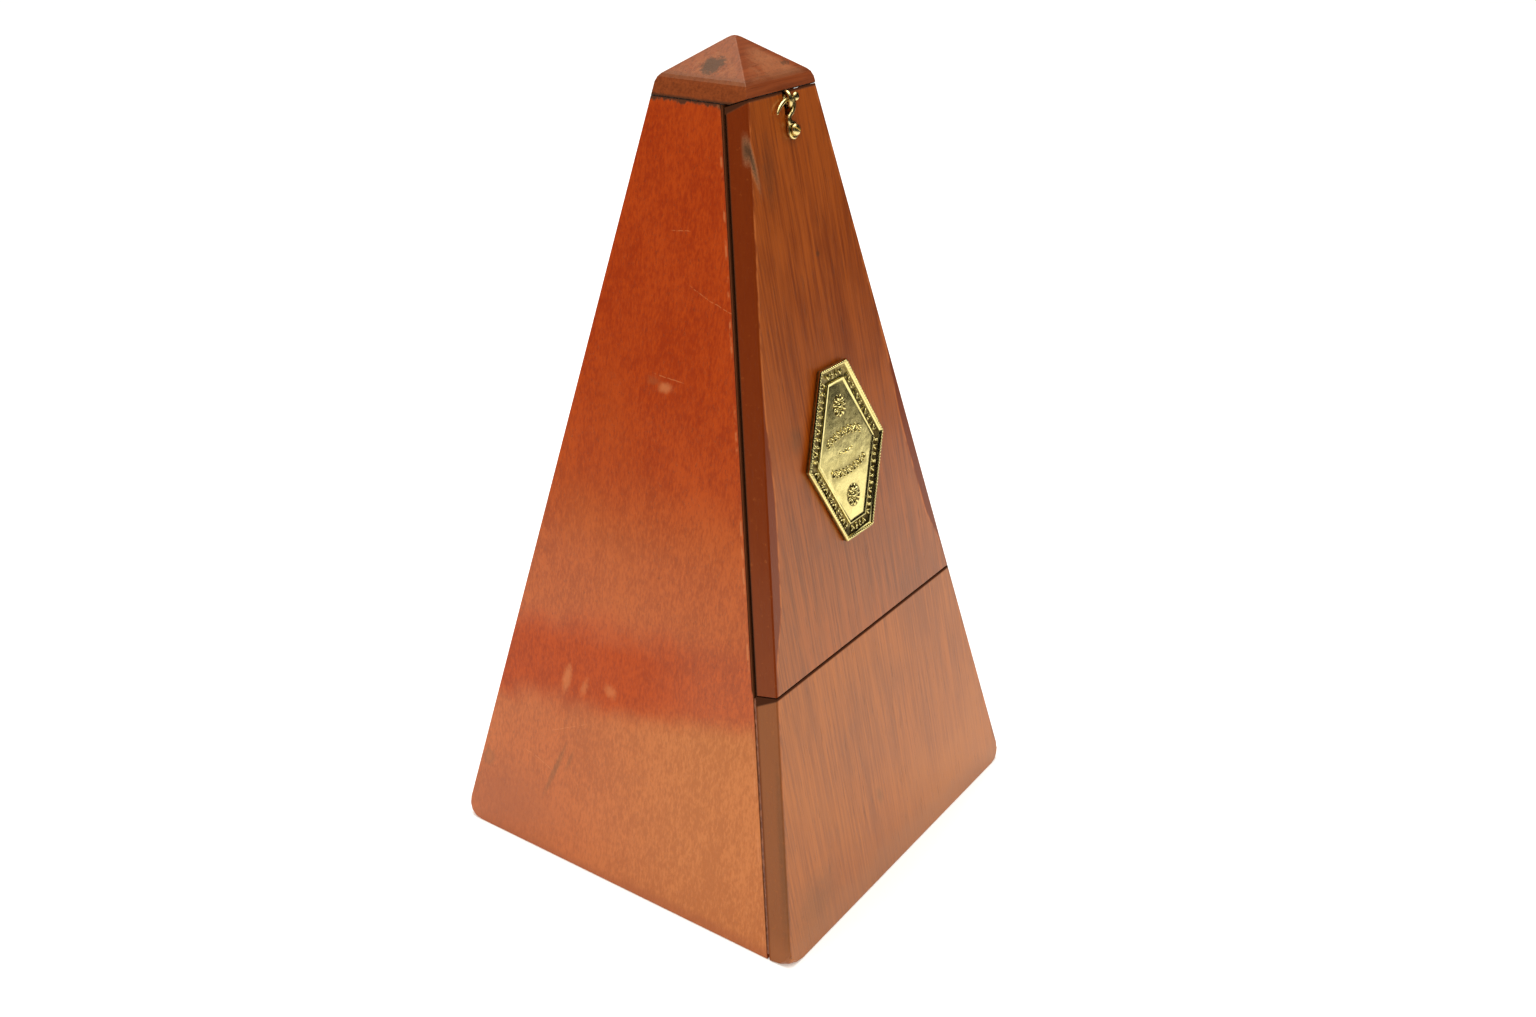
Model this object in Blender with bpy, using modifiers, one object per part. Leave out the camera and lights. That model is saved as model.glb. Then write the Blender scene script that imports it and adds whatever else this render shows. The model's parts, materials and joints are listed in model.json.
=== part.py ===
"""Pyramid metronome: a wooden case with a latched front door, and its clockwork.

Run with: blender --background --python part.py
Metres, +Z up. The front face looks along -Y. The origin is the centre of the base, on the floor.
"""
import math

import bmesh
import bpy
from mathutils import Matrix

# ---------------------------------------------------------------- case
BASE_WIDTH = 0.1198
BASE_DEPTH = 0.1185
CAP_WIDTH = 0.03084         # case width where the sides end
CAP_DEPTH = 0.02954
TOTAL_HEIGHT = 0.2252       # to the point of the roof, before it is rounded
ROOF_RISE = 0.0096
EAVE_HEIGHT = 0.0045        # upright band round the foot of the cap
SIDE_THICKNESS = 0.0065
BACK_THICKNESS = 0.0066
FRONT_THICKNESS = 0.0066    # door and lower front panel
BASE_THICKNESS = 0.007
DOOR_GAP = 0.0007           # air between the door and the front edges of the sides
SEAT_GAP = 0.0003           # air left between pieces that touch
CORNER_RADIUS = 0.006       # worn lower corners of the case
CAP_EDGE_RADIUS = 0.0011
APEX_RADIUS = 0.0022
GLUE_BLOCK_SIZE = 0.009
GLUE_BLOCK_HEIGHT = 0.012

# ---------------------------------------------------------------- front, measured up the leaning face
DOOR_SPLIT = 0.0720         # top edge of the lower front panel
DOOR_FOOT_GAP = 0.00035
DOOR_RISE = 0.00145         # the door's top edge stands this far above the sides
DOOR_TOP_GAP = 0.0003
DOOR_TOP_ANGLE = math.radians(8.0)
DOOR_RAIL = 0.0052          # solid wood left beside the hollow
DOOR_FOOT_RAIL = 0.0055
DOOR_HOLLOW_DEPTH = 0.0040
TONGUE_X = 0.026
TONGUE_WIDTH = 0.009
TONGUE_THICKNESS = 0.0010
TONGUE_RISE = 0.006
TONGUE_DROP = 0.005

# ---------------------------------------------------------------- nameplate and latch
PLATE_X = 0.0012
PLATE_HEIGHT_ON_FACE = 0.1233
PLATE_HALF_WIDTH = 0.0183
PLATE_HALF_HEIGHT = 0.0236
PLATE_END_HALF_WIDTH = 0.0063
PLATE_SHEET = 0.0007
PLATE_RIM_WIDTH = 0.0012
PLATE_RIM_HEIGHT = 0.0013
LATCH_X = 0.0010
LATCH_DROP = 0.0096         # latch screw below the door's top edge
HOOK_THICKNESS = 0.0008
HOOK_WIDTH = 0.0010
HOOK_RADIUS = 0.0075        # the catching arm is an arc about the latch screw
HOOK_ARM_START = math.radians(78.0)
HOOK_ARM_END = math.radians(141.0)
HOOK_EYE_RADIUS = 0.0025
HOOK_KNOB_RADIUS = 0.0012
LATCH_SHANK_RADIUS = 0.0011
LATCH_SHANK_LENGTH = 0.0045
LATCH_HEAD_RADIUS = 0.0021
LATCH_HEAD_HEIGHT = 0.0011
LATCH_SLOT = 0.0005
EYE_WIRE = 0.00055          # wire radius of the latch eye
EYE_RADIUS = 0.00175        # radius of the eye's centre line
EYE_X = 0.0011
EYE_MOUTH = 0.0015          # open height at the front of the eye
EYE_CENTRE_OUT = 0.00025    # the eye's centre stands this far out of the face
EYE_STEM_RADIUS = 0.0006
EYE_STEM_DEPTH = 0.0035     # length of stem inside the scale board
EYE_SLOT_WIDTH = 0.0026
EYE_SLOT_DROP = 0.0058

# ---------------------------------------------------------------- scale
SCALE_BOARD_SET_BACK = 0.0090
SCALE_BOARD_THICKNESS = 0.004
SCALE_BOARD_ROOM = 0.0055   # foot of the board above the pendulum's hub
SCALE_PLATE_THICKNESS = 0.0004
SCALE_PLATE_LIFT = 0.016
SCALE_PLATE_HALF_WIDTH = 0.0125
SCALE_MARKS = 13
SCALE_MARK_DEPTH = 0.0002
SCALE_MARK_WIDTH = 0.0005
SCALE_MARK_LENGTH = 0.0065
SCALE_CROWDING = 1.3        # how much the marks close up towards the top
CATCH_DROP = 0.0035         # catch below the top of the rod
CATCH_HALF_WIDTH = 0.0030
CATCH_HALF_HEIGHT = 0.0022
CATCH_CLEARANCE = 0.0004

# ---------------------------------------------------------------- pendulum
PENDULUM_SET_BACK = 0.0103
HUB_RADIUS = 0.0045
HUB_THICKNESS = 0.003
ROD_WIDTH = 0.0032
ROD_THICKNESS = 0.0009
ROD_SET_BACK = 0.00735      # front of the strip below its crank
ROD_FRONT = 0.0056          # front of the strip above its crank
ROD_TAIL = 0.0042           # strip below the pivot
ROD_TOP_DROP = 0.0252       # top of the rod below the door's top edge
ROD_HEADROOM = 0.0040
CRANK_LIFT = 0.0045         # foot of the crank above the lower front panel
CRANK_LENGTH = 0.0065
LOWER_ROD_RADIUS = 0.0012
LOWER_ROD_LENGTH = 0.0185
BOB_RADIUS = 0.0125
BOB_THICKNESS = 0.0065
WEIGHT_HEIGHT = 0.1100
WEIGHT_HALF_HEIGHT = 0.0065
WEIGHT_TOP_HALF_WIDTH = 0.0078
WEIGHT_FOOT_HALF_WIDTH = 0.0055
WEIGHT_WALL_FRONT = 0.0013
WEIGHT_WALL_BACK = 0.00045
WEIGHT_CLEARANCE = 0.0002
SPRING_LEAF = 0.0003
SPRING_LEAF_ROOM = 0.0009
VERGE_RADIUS = 0.0010

# ---------------------------------------------------------------- movement
PLATE_THICKNESS = 0.0015
PLATE_FOOT = 0.0100
PLATE_HEADROOM = 0.0034
PLATE_MARGIN = 0.0023
PLATE_CORNER = 0.003
PIVOT_CLEARANCE = 0.0001
DRIVE_CLEARANCE = 0.00005   # between an arbor and what is driven on to it
RAIL_WIDTH = 0.008
RAIL_OVERHANG = 0.0065
PILLAR_RADIUS = 0.0030
PILLAR_TENON_RADIUS = 0.0016
PILLAR_INSET = 0.0036       # pillar centres inside the plates' edges
PILLAR_TOP_DROP = 0.0060
NUT_RADIUS = 0.0032
NUT_THICKNESS = 0.0020
FIXING_HEAD_RADIUS = 0.0030
FIXING_HEAD_HEIGHT = 0.0015
FIXING_SHANK_RADIUS = 0.0012
FIXING_SINK = 0.0022
FIXING_SLOT = 0.0006

# ---------------------------------------------------------------- wheels
WHEEL_TEETH = 48
PINION_LEAVES = 8
GREAT_MODULE = 0.00075
SECOND_MODULE = 0.0005
MESH_EASE = 0.1             # extra centre distance, in modules
WHEEL_ADDENDUM = 0.9
PINION_ADDENDUM = 0.6
DEDENDUM = 1.3
WHEEL_ROOT_SHARE = 0.50
WHEEL_TIP_SHARE = 0.22
PINION_ROOT_SHARE = 0.48
PINION_TIP_SHARE = 0.20
TRAIN_ANGLE = math.radians(122.7)   # from the barrel to the crown wheel, seen from the right
TRAIN_SPREAD = 0.9645       # how nearly straight the train runs
BARREL_SET_BACK = 0.06525   # barrel axis behind the foot of the front face
BARREL_RIM = 0.0020         # great wheel's rim outside the drum
BARREL_WALL = 0.0010
BARREL_CAP_THICKNESS = 0.0012
GREAT_WHEEL_THICKNESS = 0.0018
GREAT_WHEEL_ROOM = 0.0070   # left side of the great wheel from the right plate
BARREL_ROOM = 0.0110        # left end of the drum from the left plate
SPRING_STRIP = 0.0005
SPRING_TURNS = 5
SPRING_STEPS = 14
ARBOR_RADIUS = 0.0025
ARBOR_SQUARE = 0.0034
ARBOR_SQUARE_LENGTH = 0.0130
ARBOR_SINK = 0.0038         # arbor's end inside the case's side
SECOND_PINION_ROOM = 0.0020
SECOND_PINION_LENGTH = 0.0085
SECOND_WHEEL_ROOM = 0.0035
SECOND_WHEEL_THICKNESS = 0.0012
STAFF_RADIUS = 0.0010
ESCAPE_PINION_LENGTH = 0.0058
ESCAPE_PINION_ROOM = 0.0012
COCK_ROOM = 0.0014
COCK_THICKNESS = 0.0012
COCK_BOSS_RADIUS = 0.0030
COCK_REACH = 0.0085
COCK_POST_RADIUS = 0.0020
CROWN_TEETH = 15
CROWN_RADIUS = 0.0090
CROWN_RIM = 0.0010
CROWN_DEPTH = 0.0051
CROWN_WEB = 0.0011
CROWN_ROOM = 0.0019
CROWN_CLEARANCE = 0.0005    # crown wheel's teeth from the pallets at rest
CROWN_TOOTH_DEPTH = 0.0022
PALLET_LENGTH = 0.0028
PALLET_WIDTH = 0.0026
PALLET_THICKNESS = 0.0005
PALLET_COLLAR_RADIUS = 0.0018
PALLET_ANGLE = math.radians(47.5)
FRONT_BRIDGE_ROOM = 0.0080  # bridges from the crown wheel's rim
REAR_BRIDGE_ROOM = 0.0025
BRIDGE_THICKNESS = 0.0015
BRIDGE_HALF_HEIGHT = 0.0032

# ---------------------------------------------------------------- winding work
RATCHET_TEETH = 20
RATCHET_RADIUS = 0.0080
RATCHET_TOOTH = 0.0012
RATCHET_UNDERCUT = 0.08     # how far each tooth's face leans, in pitches
RATCHET_ROOM = 0.0007
RATCHET_THICKNESS = 0.0015
CLICK_CLEARANCE = 0.0003
CLICK_REACH = 0.0095
CLICK_ANGLE = math.radians(128.0)   # where the click's tip meets the ratchet
CLICK_APPROACH = math.radians(75.0)
CLICK_BOSS_RADIUS = 0.0026
CLICK_TIP_WIDTH = 0.0012
CLICK_SHANK_RADIUS = 0.0012
CLICK_HEAD_RADIUS = 0.0022
CLICK_HEAD_HEIGHT = 0.0010
CLICK_SPRING_RADIUS = 0.0003
CLICK_SPRING_LENGTH = 0.0115
CLICK_SPRING_SWEEP = 0.0030
KEY_HOLE_RADIUS = 0.0060
ESCUTCHEON_RADIUS = 0.0090
ESCUTCHEON_THICKNESS = 0.0008
KEY_TUBE_RADIUS = 0.0037
KEY_SOCKET = 0.0042
KEY_ENGAGEMENT = 0.0065     # length of arbor inside the key
KEY_STANDOFF = 0.0052       # collar from the case's side
KEY_COLLAR_RADIUS = 0.0046
KEY_COLLAR_HEIGHT = 0.0030
KEY_WING_LENGTH = 0.0165
KEY_WING_HALF_WIDTH = 0.0115
KEY_WING_LOBE = 0.0055
KEY_WING_THICKNESS = 0.0022

ROUND_STEPS = 20
FINE_STEPS = 28
SMALL_STEPS = 14

# colour, roughness, metallic
SIDE_WOOD = ((0.43, 0.12, 0.035, 1.0), 0.30, 0.0)
FRONT_WOOD = ((0.36, 0.13, 0.05, 1.0), 0.45, 0.0)
CAP_WOOD = ((0.30, 0.10, 0.045, 1.0), 0.50, 0.0)
INNER_WOOD = ((0.40, 0.24, 0.12, 1.0), 0.70, 0.0)
BRASS = ((0.68, 0.52, 0.20, 1.0), 0.30, 1.0)
STEEL = ((0.45, 0.46, 0.48, 1.0), 0.35, 1.0)
BLUED_STEEL = ((0.10, 0.12, 0.20, 1.0), 0.35, 1.0)
LEAD = ((0.25, 0.26, 0.27, 1.0), 0.60, 1.0)

# ---------------------------------------------------------------- sizes that follow from the case
SIDE_TOP = TOTAL_HEIGHT - ROOF_RISE - EAVE_HEIGHT - SEAT_GAP
EAVE_TOP = SIDE_TOP + SEAT_GAP + EAVE_HEIGHT
SIDE_TAPER = (BASE_WIDTH - CAP_WIDTH) / (2 * SIDE_TOP)
FRONT_TAPER = (BASE_DEPTH - CAP_DEPTH) / (2 * SIDE_TOP)
SIDE_LEAN = math.atan(SIDE_TAPER)
LEAN = math.atan(FRONT_TAPER)
LEAN_COS = math.cos(LEAN)
LEAN_SIN = math.sin(LEAN)
DOOR_TOP = (SIDE_TOP + SEAT_GAP) / LEAN_COS + DOOR_RISE
LATCH_PIVOT = DOOR_TOP - LATCH_DROP
ROD_TOP = DOOR_TOP - ROD_TOP_DROP
DOOR_HOLLOW_FOOT = DOOR_SPLIT + DOOR_FOOT_RAIL
DOOR_HOLLOW_TOP = ROD_TOP + ROD_HEADROOM
CATCH_HEIGHT = ROD_TOP - CATCH_DROP
SCALE_PLATE_FOOT = DOOR_SPLIT + SCALE_PLATE_LIFT
SCALE_PLATE_TOP = CATCH_HEIGHT - 2 * CATCH_HALF_HEIGHT

# ---------------------------------------------------------------- sizes that follow from the wheels
GREAT_TIP = (WHEEL_TEETH / 2 + WHEEL_ADDENDUM) * GREAT_MODULE
GREAT_ROOT = (WHEEL_TEETH / 2 - DEDENDUM) * GREAT_MODULE
BARREL_RADIUS = GREAT_ROOT - BARREL_RIM
BARREL_Y = BARREL_SET_BACK - BASE_DEPTH / 2
BARREL_Z = PLATE_FOOT + GREAT_TIP + SEAT_GAP
FIRST_DISTANCE = ((WHEEL_TEETH + PINION_LEAVES) / 2 + MESH_EASE) * GREAT_MODULE
SECOND_DISTANCE = ((WHEEL_TEETH + PINION_LEAVES) / 2 + MESH_EASE) * SECOND_MODULE
TRAIN_LENGTH = TRAIN_SPREAD * (FIRST_DISTANCE + SECOND_DISTANCE)
ESCAPE_Y = BARREL_Y + TRAIN_LENGTH * math.cos(TRAIN_ANGLE)
ESCAPE_Z = BARREL_Z + TRAIN_LENGTH * math.sin(TRAIN_ANGLE)
PIVOT_HEIGHT = (ESCAPE_Y + BASE_DEPTH / 2) * LEAN_SIN + ESCAPE_Z * LEAN_COS
ESCAPE_DEPTH = (ESCAPE_Y + BASE_DEPTH / 2) * LEAN_COS - ESCAPE_Z * LEAN_SIN
SCALE_BOARD_FOOT = PIVOT_HEIGHT + HUB_RADIUS + SCALE_BOARD_ROOM
ROD_FOOT = PIVOT_HEIGHT - ROD_TAIL
CRANK_START = DOOR_SPLIT + CRANK_LIFT
BOB_HEIGHT = PIVOT_HEIGHT - HUB_RADIUS - SEAT_GAP - LOWER_ROD_LENGTH - SEAT_GAP - BOB_RADIUS
CROWN_RIGHT = -(PALLET_LENGTH * math.cos(PALLET_ANGLE) + CROWN_CLEARANCE)
CROWN_LEFT = CROWN_RIGHT - CROWN_DEPTH
COCK_LEFT = CROWN_LEFT - CROWN_ROOM - COCK_THICKNESS
ESCAPE_PINION_RIGHT = COCK_LEFT - COCK_ROOM
ESCAPE_PINION_LEFT = ESCAPE_PINION_RIGHT - ESCAPE_PINION_LENGTH
PLATE_INSIDE = ESCAPE_PINION_ROOM - ESCAPE_PINION_LEFT      # half the room between the plates
PLATE_OUTSIDE = PLATE_INSIDE + PLATE_THICKNESS
GREAT_WHEEL_X = PLATE_INSIDE - GREAT_WHEEL_ROOM
BARREL_LEFT = BARREL_ROOM - PLATE_INSIDE
SECOND_PINION_RIGHT = PLATE_INSIDE - SECOND_PINION_ROOM
SECOND_PINION_LEFT = SECOND_PINION_RIGHT - SECOND_PINION_LENGTH
SECOND_WHEEL_X = SECOND_WHEEL_ROOM - PLATE_INSIDE
FRONT_BRIDGE_DEPTH = ESCAPE_DEPTH - CROWN_RADIUS - FRONT_BRIDGE_ROOM
REAR_BRIDGE_DEPTH = ESCAPE_DEPTH + CROWN_RADIUS + REAR_BRIDGE_ROOM
BRIDGE_FRONT_Y = PIVOT_HEIGHT * LEAN_SIN + FRONT_BRIDGE_DEPTH * LEAN_COS - BASE_DEPTH / 2
PLATE_FRONT = BRIDGE_FRONT_Y - BRIDGE_THICKNESS
PLATE_BACK = BARREL_Y + GREAT_TIP + PLATE_MARGIN
PLATE_TOP = PIVOT_HEIGHT * LEAN_COS + PLATE_HEADROOM
PILLAR_FRONT = PLATE_FRONT + PILLAR_INSET
PILLAR_REAR = PLATE_BACK - PILLAR_INSET
PILLAR_LOW = PLATE_FOOT + PILLAR_INSET
PILLAR_HIGH = PLATE_TOP - PILLAR_TOP_DROP
RATCHET_X = PLATE_OUTSIDE + RATCHET_ROOM


# ---------------------------------------------------------------- places
def half_width(height, inset=0.0):
    """Half the width of the case at a height, less an inset measured square to the side."""
    return BASE_WIDTH / 2 - SIDE_TAPER * height - inset / math.cos(SIDE_LEAN)


def half_depth(height, inset=0.0):
    """Half the depth of the case at a height, less an inset measured square to the face."""
    return BASE_DEPTH / 2 - FRONT_TAPER * height - inset / LEAN_COS


def height_of(up, out):
    """Height above the floor of a point given up the front face and out from it."""
    return up * LEAN_COS + out * LEAN_SIN


def up_at(height, out):
    """Distance up the front face of a point at a height above the floor."""
    return (height - out * LEAN_SIN) / LEAN_COS


def depth_and_height(up, out):
    """World y and z of a point given up the front face and out from it."""
    return (-BASE_DEPTH / 2 + up * LEAN_SIN - out * LEAN_COS, height_of(up, out))


def hole_radius(shaft_radius, steps=ROUND_STEPS, clearance=PIVOT_CLEARANCE):
    """Radius of a faceted hole that clears a round shaft by the clearance."""
    return (shaft_radius + clearance) / math.cos(math.pi / steps)


# ---------------------------------------------------------------- scene and objects
def clear_scene():
    for item in list(bpy.data.objects):
        bpy.data.objects.remove(item, do_unlink=True)


def make_collection(name):
    collection = bpy.data.collections.new(name)
    bpy.context.scene.collection.children.link(collection)
    return collection


def finish(item, look):
    """Gives an object a material of its own."""
    colour, roughness, metallic = look
    material = bpy.data.materials.new(item.name)
    material.use_nodes = True
    shader = material.node_tree.nodes["Principled BSDF"]
    shader.inputs["Base Color"].default_value = colour
    shader.inputs["Roughness"].default_value = roughness
    shader.inputs["Metallic"].default_value = metallic
    material.diffuse_color = colour
    item.data.materials.append(material)


def add_object(name, mesh, look=None, parent=None, location=(0.0, 0.0, 0.0), angle=0.0):
    """Adds a mesh as a named part, turned by an angle about its parent's Z axis."""
    mesh.name = name
    item = bpy.data.objects.new(name, mesh)
    item.parent = parent
    item.location = location
    item.rotation_euler[2] = angle
    if look is None:
        cutters.objects.link(item)
        item.hide_render = True
        item.display_type = "WIRE"
    else:
        parts.objects.link(item)
        finish(item, look)
        mesh.shade_smooth()
        mesh.set_sharp_from_angle(angle=math.radians(30.0))
    return item


def add_frame(name, parent=None, location=(0.0, 0.0, 0.0), rotation=(0.0, 0.0, 0.0)):
    """An empty that carries pieces, or marks a joint's axis."""
    frame = bpy.data.objects.new(name, None)
    frame.empty_display_size = 0.01
    frame.parent = parent
    frame.location = location
    frame.rotation_euler = rotation
    parts.objects.link(frame)
    return frame


def mesh_from(bm):
    bmesh.ops.recalc_face_normals(bm, faces=bm.faces)
    mesh = bpy.data.meshes.new("shape")
    bm.to_mesh(mesh)
    bm.free()
    return mesh


def combine(item, other, operation="DIFFERENCE"):
    """Joins or cuts one object with another by a Boolean."""
    modifier = item.modifiers.new(operation.title() + "_" + other.name, "BOOLEAN")
    modifier.operation = operation
    modifier.solver = "EXACT"
    modifier.object = other


# ---------------------------------------------------------------- basic shapes
def box_mesh(size, centre=(0.0, 0.0, 0.0)):
    bm = bmesh.new()
    bmesh.ops.create_cube(bm, size=1.0)
    bmesh.ops.scale(bm, vec=size, verts=bm.verts)
    bmesh.ops.translate(bm, vec=centre, verts=bm.verts)
    return mesh_from(bm)


def cylinder_mesh(radius, low, high, steps=ROUND_STEPS, centre=(0.0, 0.0)):
    """A cylinder along Z from low to high."""
    bm = bmesh.new()
    length = high - low
    bmesh.ops.create_cone(bm, cap_ends=True, segments=steps, radius1=radius, radius2=radius, depth=length)
    bmesh.ops.translate(bm, vec=(centre[0], centre[1], (low + high) / 2), verts=bm.verts)
    return mesh_from(bm)


def outline_mesh(loops, low, high):
    """A flat outline, with holes, made solid from low to high along Z."""
    curve = bpy.data.curves.new("outline", "CURVE")
    curve.dimensions = "2D"
    curve.fill_mode = "BOTH"
    curve.extrude = (high - low) / 2
    for loop in loops:
        spline = curve.splines.new("POLY")
        spline.points.add(len(loop) - 1)
        for point, (across, along) in zip(spline.points, loop):
            point.co = (across, along, 0.0, 1.0)
        spline.use_cyclic_u = True
    guide = bpy.data.objects.new("outline", curve)
    bpy.context.scene.collection.objects.link(guide)
    depsgraph = bpy.context.evaluated_depsgraph_get()
    flat = bpy.data.meshes.new_from_object(guide.evaluated_get(depsgraph))
    bpy.data.objects.remove(guide)
    bm = bmesh.new()
    bm.from_mesh(flat)
    bmesh.ops.remove_doubles(bm, verts=bm.verts, dist=1e-6)
    bmesh.ops.translate(bm, vec=(0.0, 0.0, (low + high) / 2), verts=bm.verts)
    return mesh_from(bm)


def turned(name, profile, look, parent=None, location=(0.0, 0.0, 0.0), steps=ROUND_STEPS):
    """A turned piece about Z. The profile of (radius, height) runs down the outer side.

    A profile that starts on the axis is solid; one that starts off the axis closes into a ring.
    """
    bm = bmesh.new()
    verts = [bm.verts.new((radius, 0.0, height)) for radius, height in profile]
    for first, second in zip(verts, verts[1:]):
        bm.edges.new((first, second))
    if profile[0][0] > 0.0:
        bm.edges.new((verts[-1], verts[0]))
    mesh = bpy.data.meshes.new(name)
    bm.to_mesh(mesh)
    bm.free()
    item = add_object(name, mesh, look, parent, location)
    screw = item.modifiers.new("Screw", "SCREW")
    screw.steps = steps
    screw.render_steps = steps
    screw.use_merge_vertices = True
    screw.merge_threshold = 1e-6
    screw.use_smooth_shade = False
    return item


def swept_mesh(points, radius, resolution=2, cyclic=False):
    """A round wire through the points, with closed ends."""
    curve = bpy.data.curves.new("wire", "CURVE")
    curve.dimensions = "3D"
    curve.bevel_depth = radius
    curve.bevel_resolution = resolution
    curve.use_fill_caps = True
    spline = curve.splines.new("POLY")
    spline.points.add(len(points) - 1)
    for point, place in zip(spline.points, points):
        point.co = (*place, 1.0)
    spline.use_cyclic_u = cyclic
    guide = bpy.data.objects.new("wire", curve)
    bpy.context.scene.collection.objects.link(guide)
    depsgraph = bpy.context.evaluated_depsgraph_get()
    wire = bpy.data.meshes.new_from_object(guide.evaluated_get(depsgraph))
    bpy.data.objects.remove(guide)
    bm = bmesh.new()
    bm.from_mesh(wire)
    bmesh.ops.remove_doubles(bm, verts=bm.verts, dist=1e-6)
    return mesh_from(bm)


def circle(radius, steps=ROUND_STEPS, centre=(0.0, 0.0), start=0.0):
    """Points of a circle, as a loop for an outline."""
    angles = [start + 2 * math.pi * step / steps for step in range(steps)]
    return [(centre[0] + radius * math.cos(a), centre[1] + radius * math.sin(a)) for a in angles]


def arc(radius, start, end, steps, centre=(0.0, 0.0)):
    """Points along an arc, both ends included."""
    angles = [start + (end - start) * step / steps for step in range(steps + 1)]
    return [(centre[0] + radius * math.cos(a), centre[1] + radius * math.sin(a)) for a in angles]


def ribbon(line, width):
    """The outline of a strip of constant width along a line of points."""
    left, right = [], []
    for index, point in enumerate(line):
        before = line[max(index - 1, 0)]
        after = line[min(index + 1, len(line) - 1)]
        along = (after[0] - before[0], after[1] - before[1])
        length = math.hypot(*along)
        across = (-along[1] / length * width / 2, along[0] / length * width / 2)
        left.append((point[0] + across[0], point[1] + across[1]))
        right.append((point[0] - across[0], point[1] - across[1]))
    return left + right[::-1]


def rounded_rectangle(low_x, low_y, high_x, high_y, radius):
    """The outline of a rectangle with round corners."""
    loop = []
    corners = ((high_x, high_y, 0), (low_x, high_y, 1), (low_x, low_y, 2), (high_x, low_y, 3))
    for corner_x, corner_y, quarter in corners:
        centre_x = corner_x - math.copysign(radius, corner_x - (low_x + high_x) / 2)
        centre_y = corner_y - math.copysign(radius, corner_y - (low_y + high_y) / 2)
        start = quarter * math.pi / 2
        loop += arc(radius, start, start + math.pi / 2, 3, (centre_x, centre_y))
    return loop


def toothed(teeth, module, addendum, root_share, tip_share, phase=0.0):
    """The outline of a gear. The shares are tooth widths as parts of the pitch."""
    radius = teeth * module / 2
    tip = radius + addendum * module
    root = radius - DEDENDUM * module
    pitch = 2 * math.pi / teeth
    loop = []
    for tooth in range(teeth):
        middle = phase + tooth * pitch
        for reach, share in ((root, -root_share), (tip, -tip_share), (tip, tip_share), (root, root_share)):
            angle = middle + share * pitch / 2
            loop.append((reach * math.cos(angle), reach * math.sin(angle)))
    return loop


def wheel_outline(module, phase):
    return toothed(WHEEL_TEETH, module, WHEEL_ADDENDUM, WHEEL_ROOT_SHARE, WHEEL_TIP_SHARE, phase)


def pinion_outline(module, phase):
    return toothed(PINION_LEAVES, module, PINION_ADDENDUM, PINION_ROOT_SHARE, PINION_TIP_SHARE, phase)


def tapered_board(x_faces, y_faces, z_faces):
    """A board whose faces lean with the case. Each side face is a function of height."""
    bm = bmesh.new()
    bmesh.ops.create_cube(bm, size=2.0)
    for vert in bm.verts:
        right, back, top = (value > 0.0 for value in vert.co)
        height = z_faces[top]
        vert.co = (x_faces[right](height), y_faces[back](height), height)
    return bm


def front_board(low, high, thickness, inset=0.0, front=0.0):
    """A board along the front face. Its low and high edges are functions of the place out of the face."""
    bm = bmesh.new()
    bmesh.ops.create_cube(bm, size=2.0)
    for vert in bm.verts:
        right, top, outer = (value > 0.0 for value in vert.co)
        out = front if outer else front - thickness
        up = high(out) if top else low(out)
        side = half_width(height_of(up, out), inset)
        vert.co = (side if right else -side, up, out)
    return bm


def round_corners(bm, chosen, radius):
    """Rounds the chosen corners of a board."""
    corners = [vert for vert in bm.verts if chosen(vert.co)]
    bmesh.ops.bevel(bm, geom=corners, offset=radius, offset_type="OFFSET", segments=4, profile=0.5,
                    affect="VERTICES")


# ---------------------------------------------------------------- case pieces
def build_sides():
    """The two side panels. They run to the back corners, and the back panel fits between them."""
    front_inset = FRONT_THICKNESS + DOOR_GAP
    y_faces = (lambda z: -half_depth(z, front_inset), lambda z: half_depth(z))
    x_faces = (lambda z: -half_width(z), lambda z: -half_width(z, SIDE_THICKNESS))
    left = tapered_board(x_faces, y_faces, (0.0, SIDE_TOP))
    round_corners(left, lambda co: is_back_foot(co) and co.x < SEAT_GAP - half_width(0.0), CORNER_RADIUS)
    add_object("left_side_panel", mesh_from(left), SIDE_WOOD)
    x_faces = (lambda z: half_width(z, SIDE_THICKNESS), lambda z: half_width(z))
    right = tapered_board(x_faces, y_faces, (0.0, SIDE_TOP))
    round_corners(right, lambda co: is_back_foot(co) and co.x > half_width(0.0) - SEAT_GAP, CORNER_RADIUS)
    panel = add_object("right_side_panel", mesh_from(right), SIDE_WOOD)
    hole = cylinder_mesh(KEY_HOLE_RADIUS, 0.0, BASE_WIDTH)
    combine(panel, add_object("key_hole_cutter", hole, None, barrel_axis))


def is_back_foot(co):
    return co.z < BASE_THICKNESS and co.y > half_depth(0.0) - SEAT_GAP


def build_back():
    inset = SIDE_THICKNESS + SEAT_GAP
    bm = tapered_board((lambda z: -half_width(z, inset), lambda z: half_width(z, inset)),
                       (lambda z: half_depth(z, BACK_THICKNESS), lambda z: half_depth(z)), (0.0, SIDE_TOP))
    add_object("back_panel", mesh_from(bm), FRONT_WOOD)


def build_lower_front():
    bm = front_board(lambda out: up_at(0.0, out), lambda out: DOOR_SPLIT, FRONT_THICKNESS)
    round_corners(bm, lambda co: co.y < BASE_THICKNESS and co.z > -SEAT_GAP, CORNER_RADIUS)
    add_object("lower_front_panel", mesh_from(bm), FRONT_WOOD, front_frame)


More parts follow.
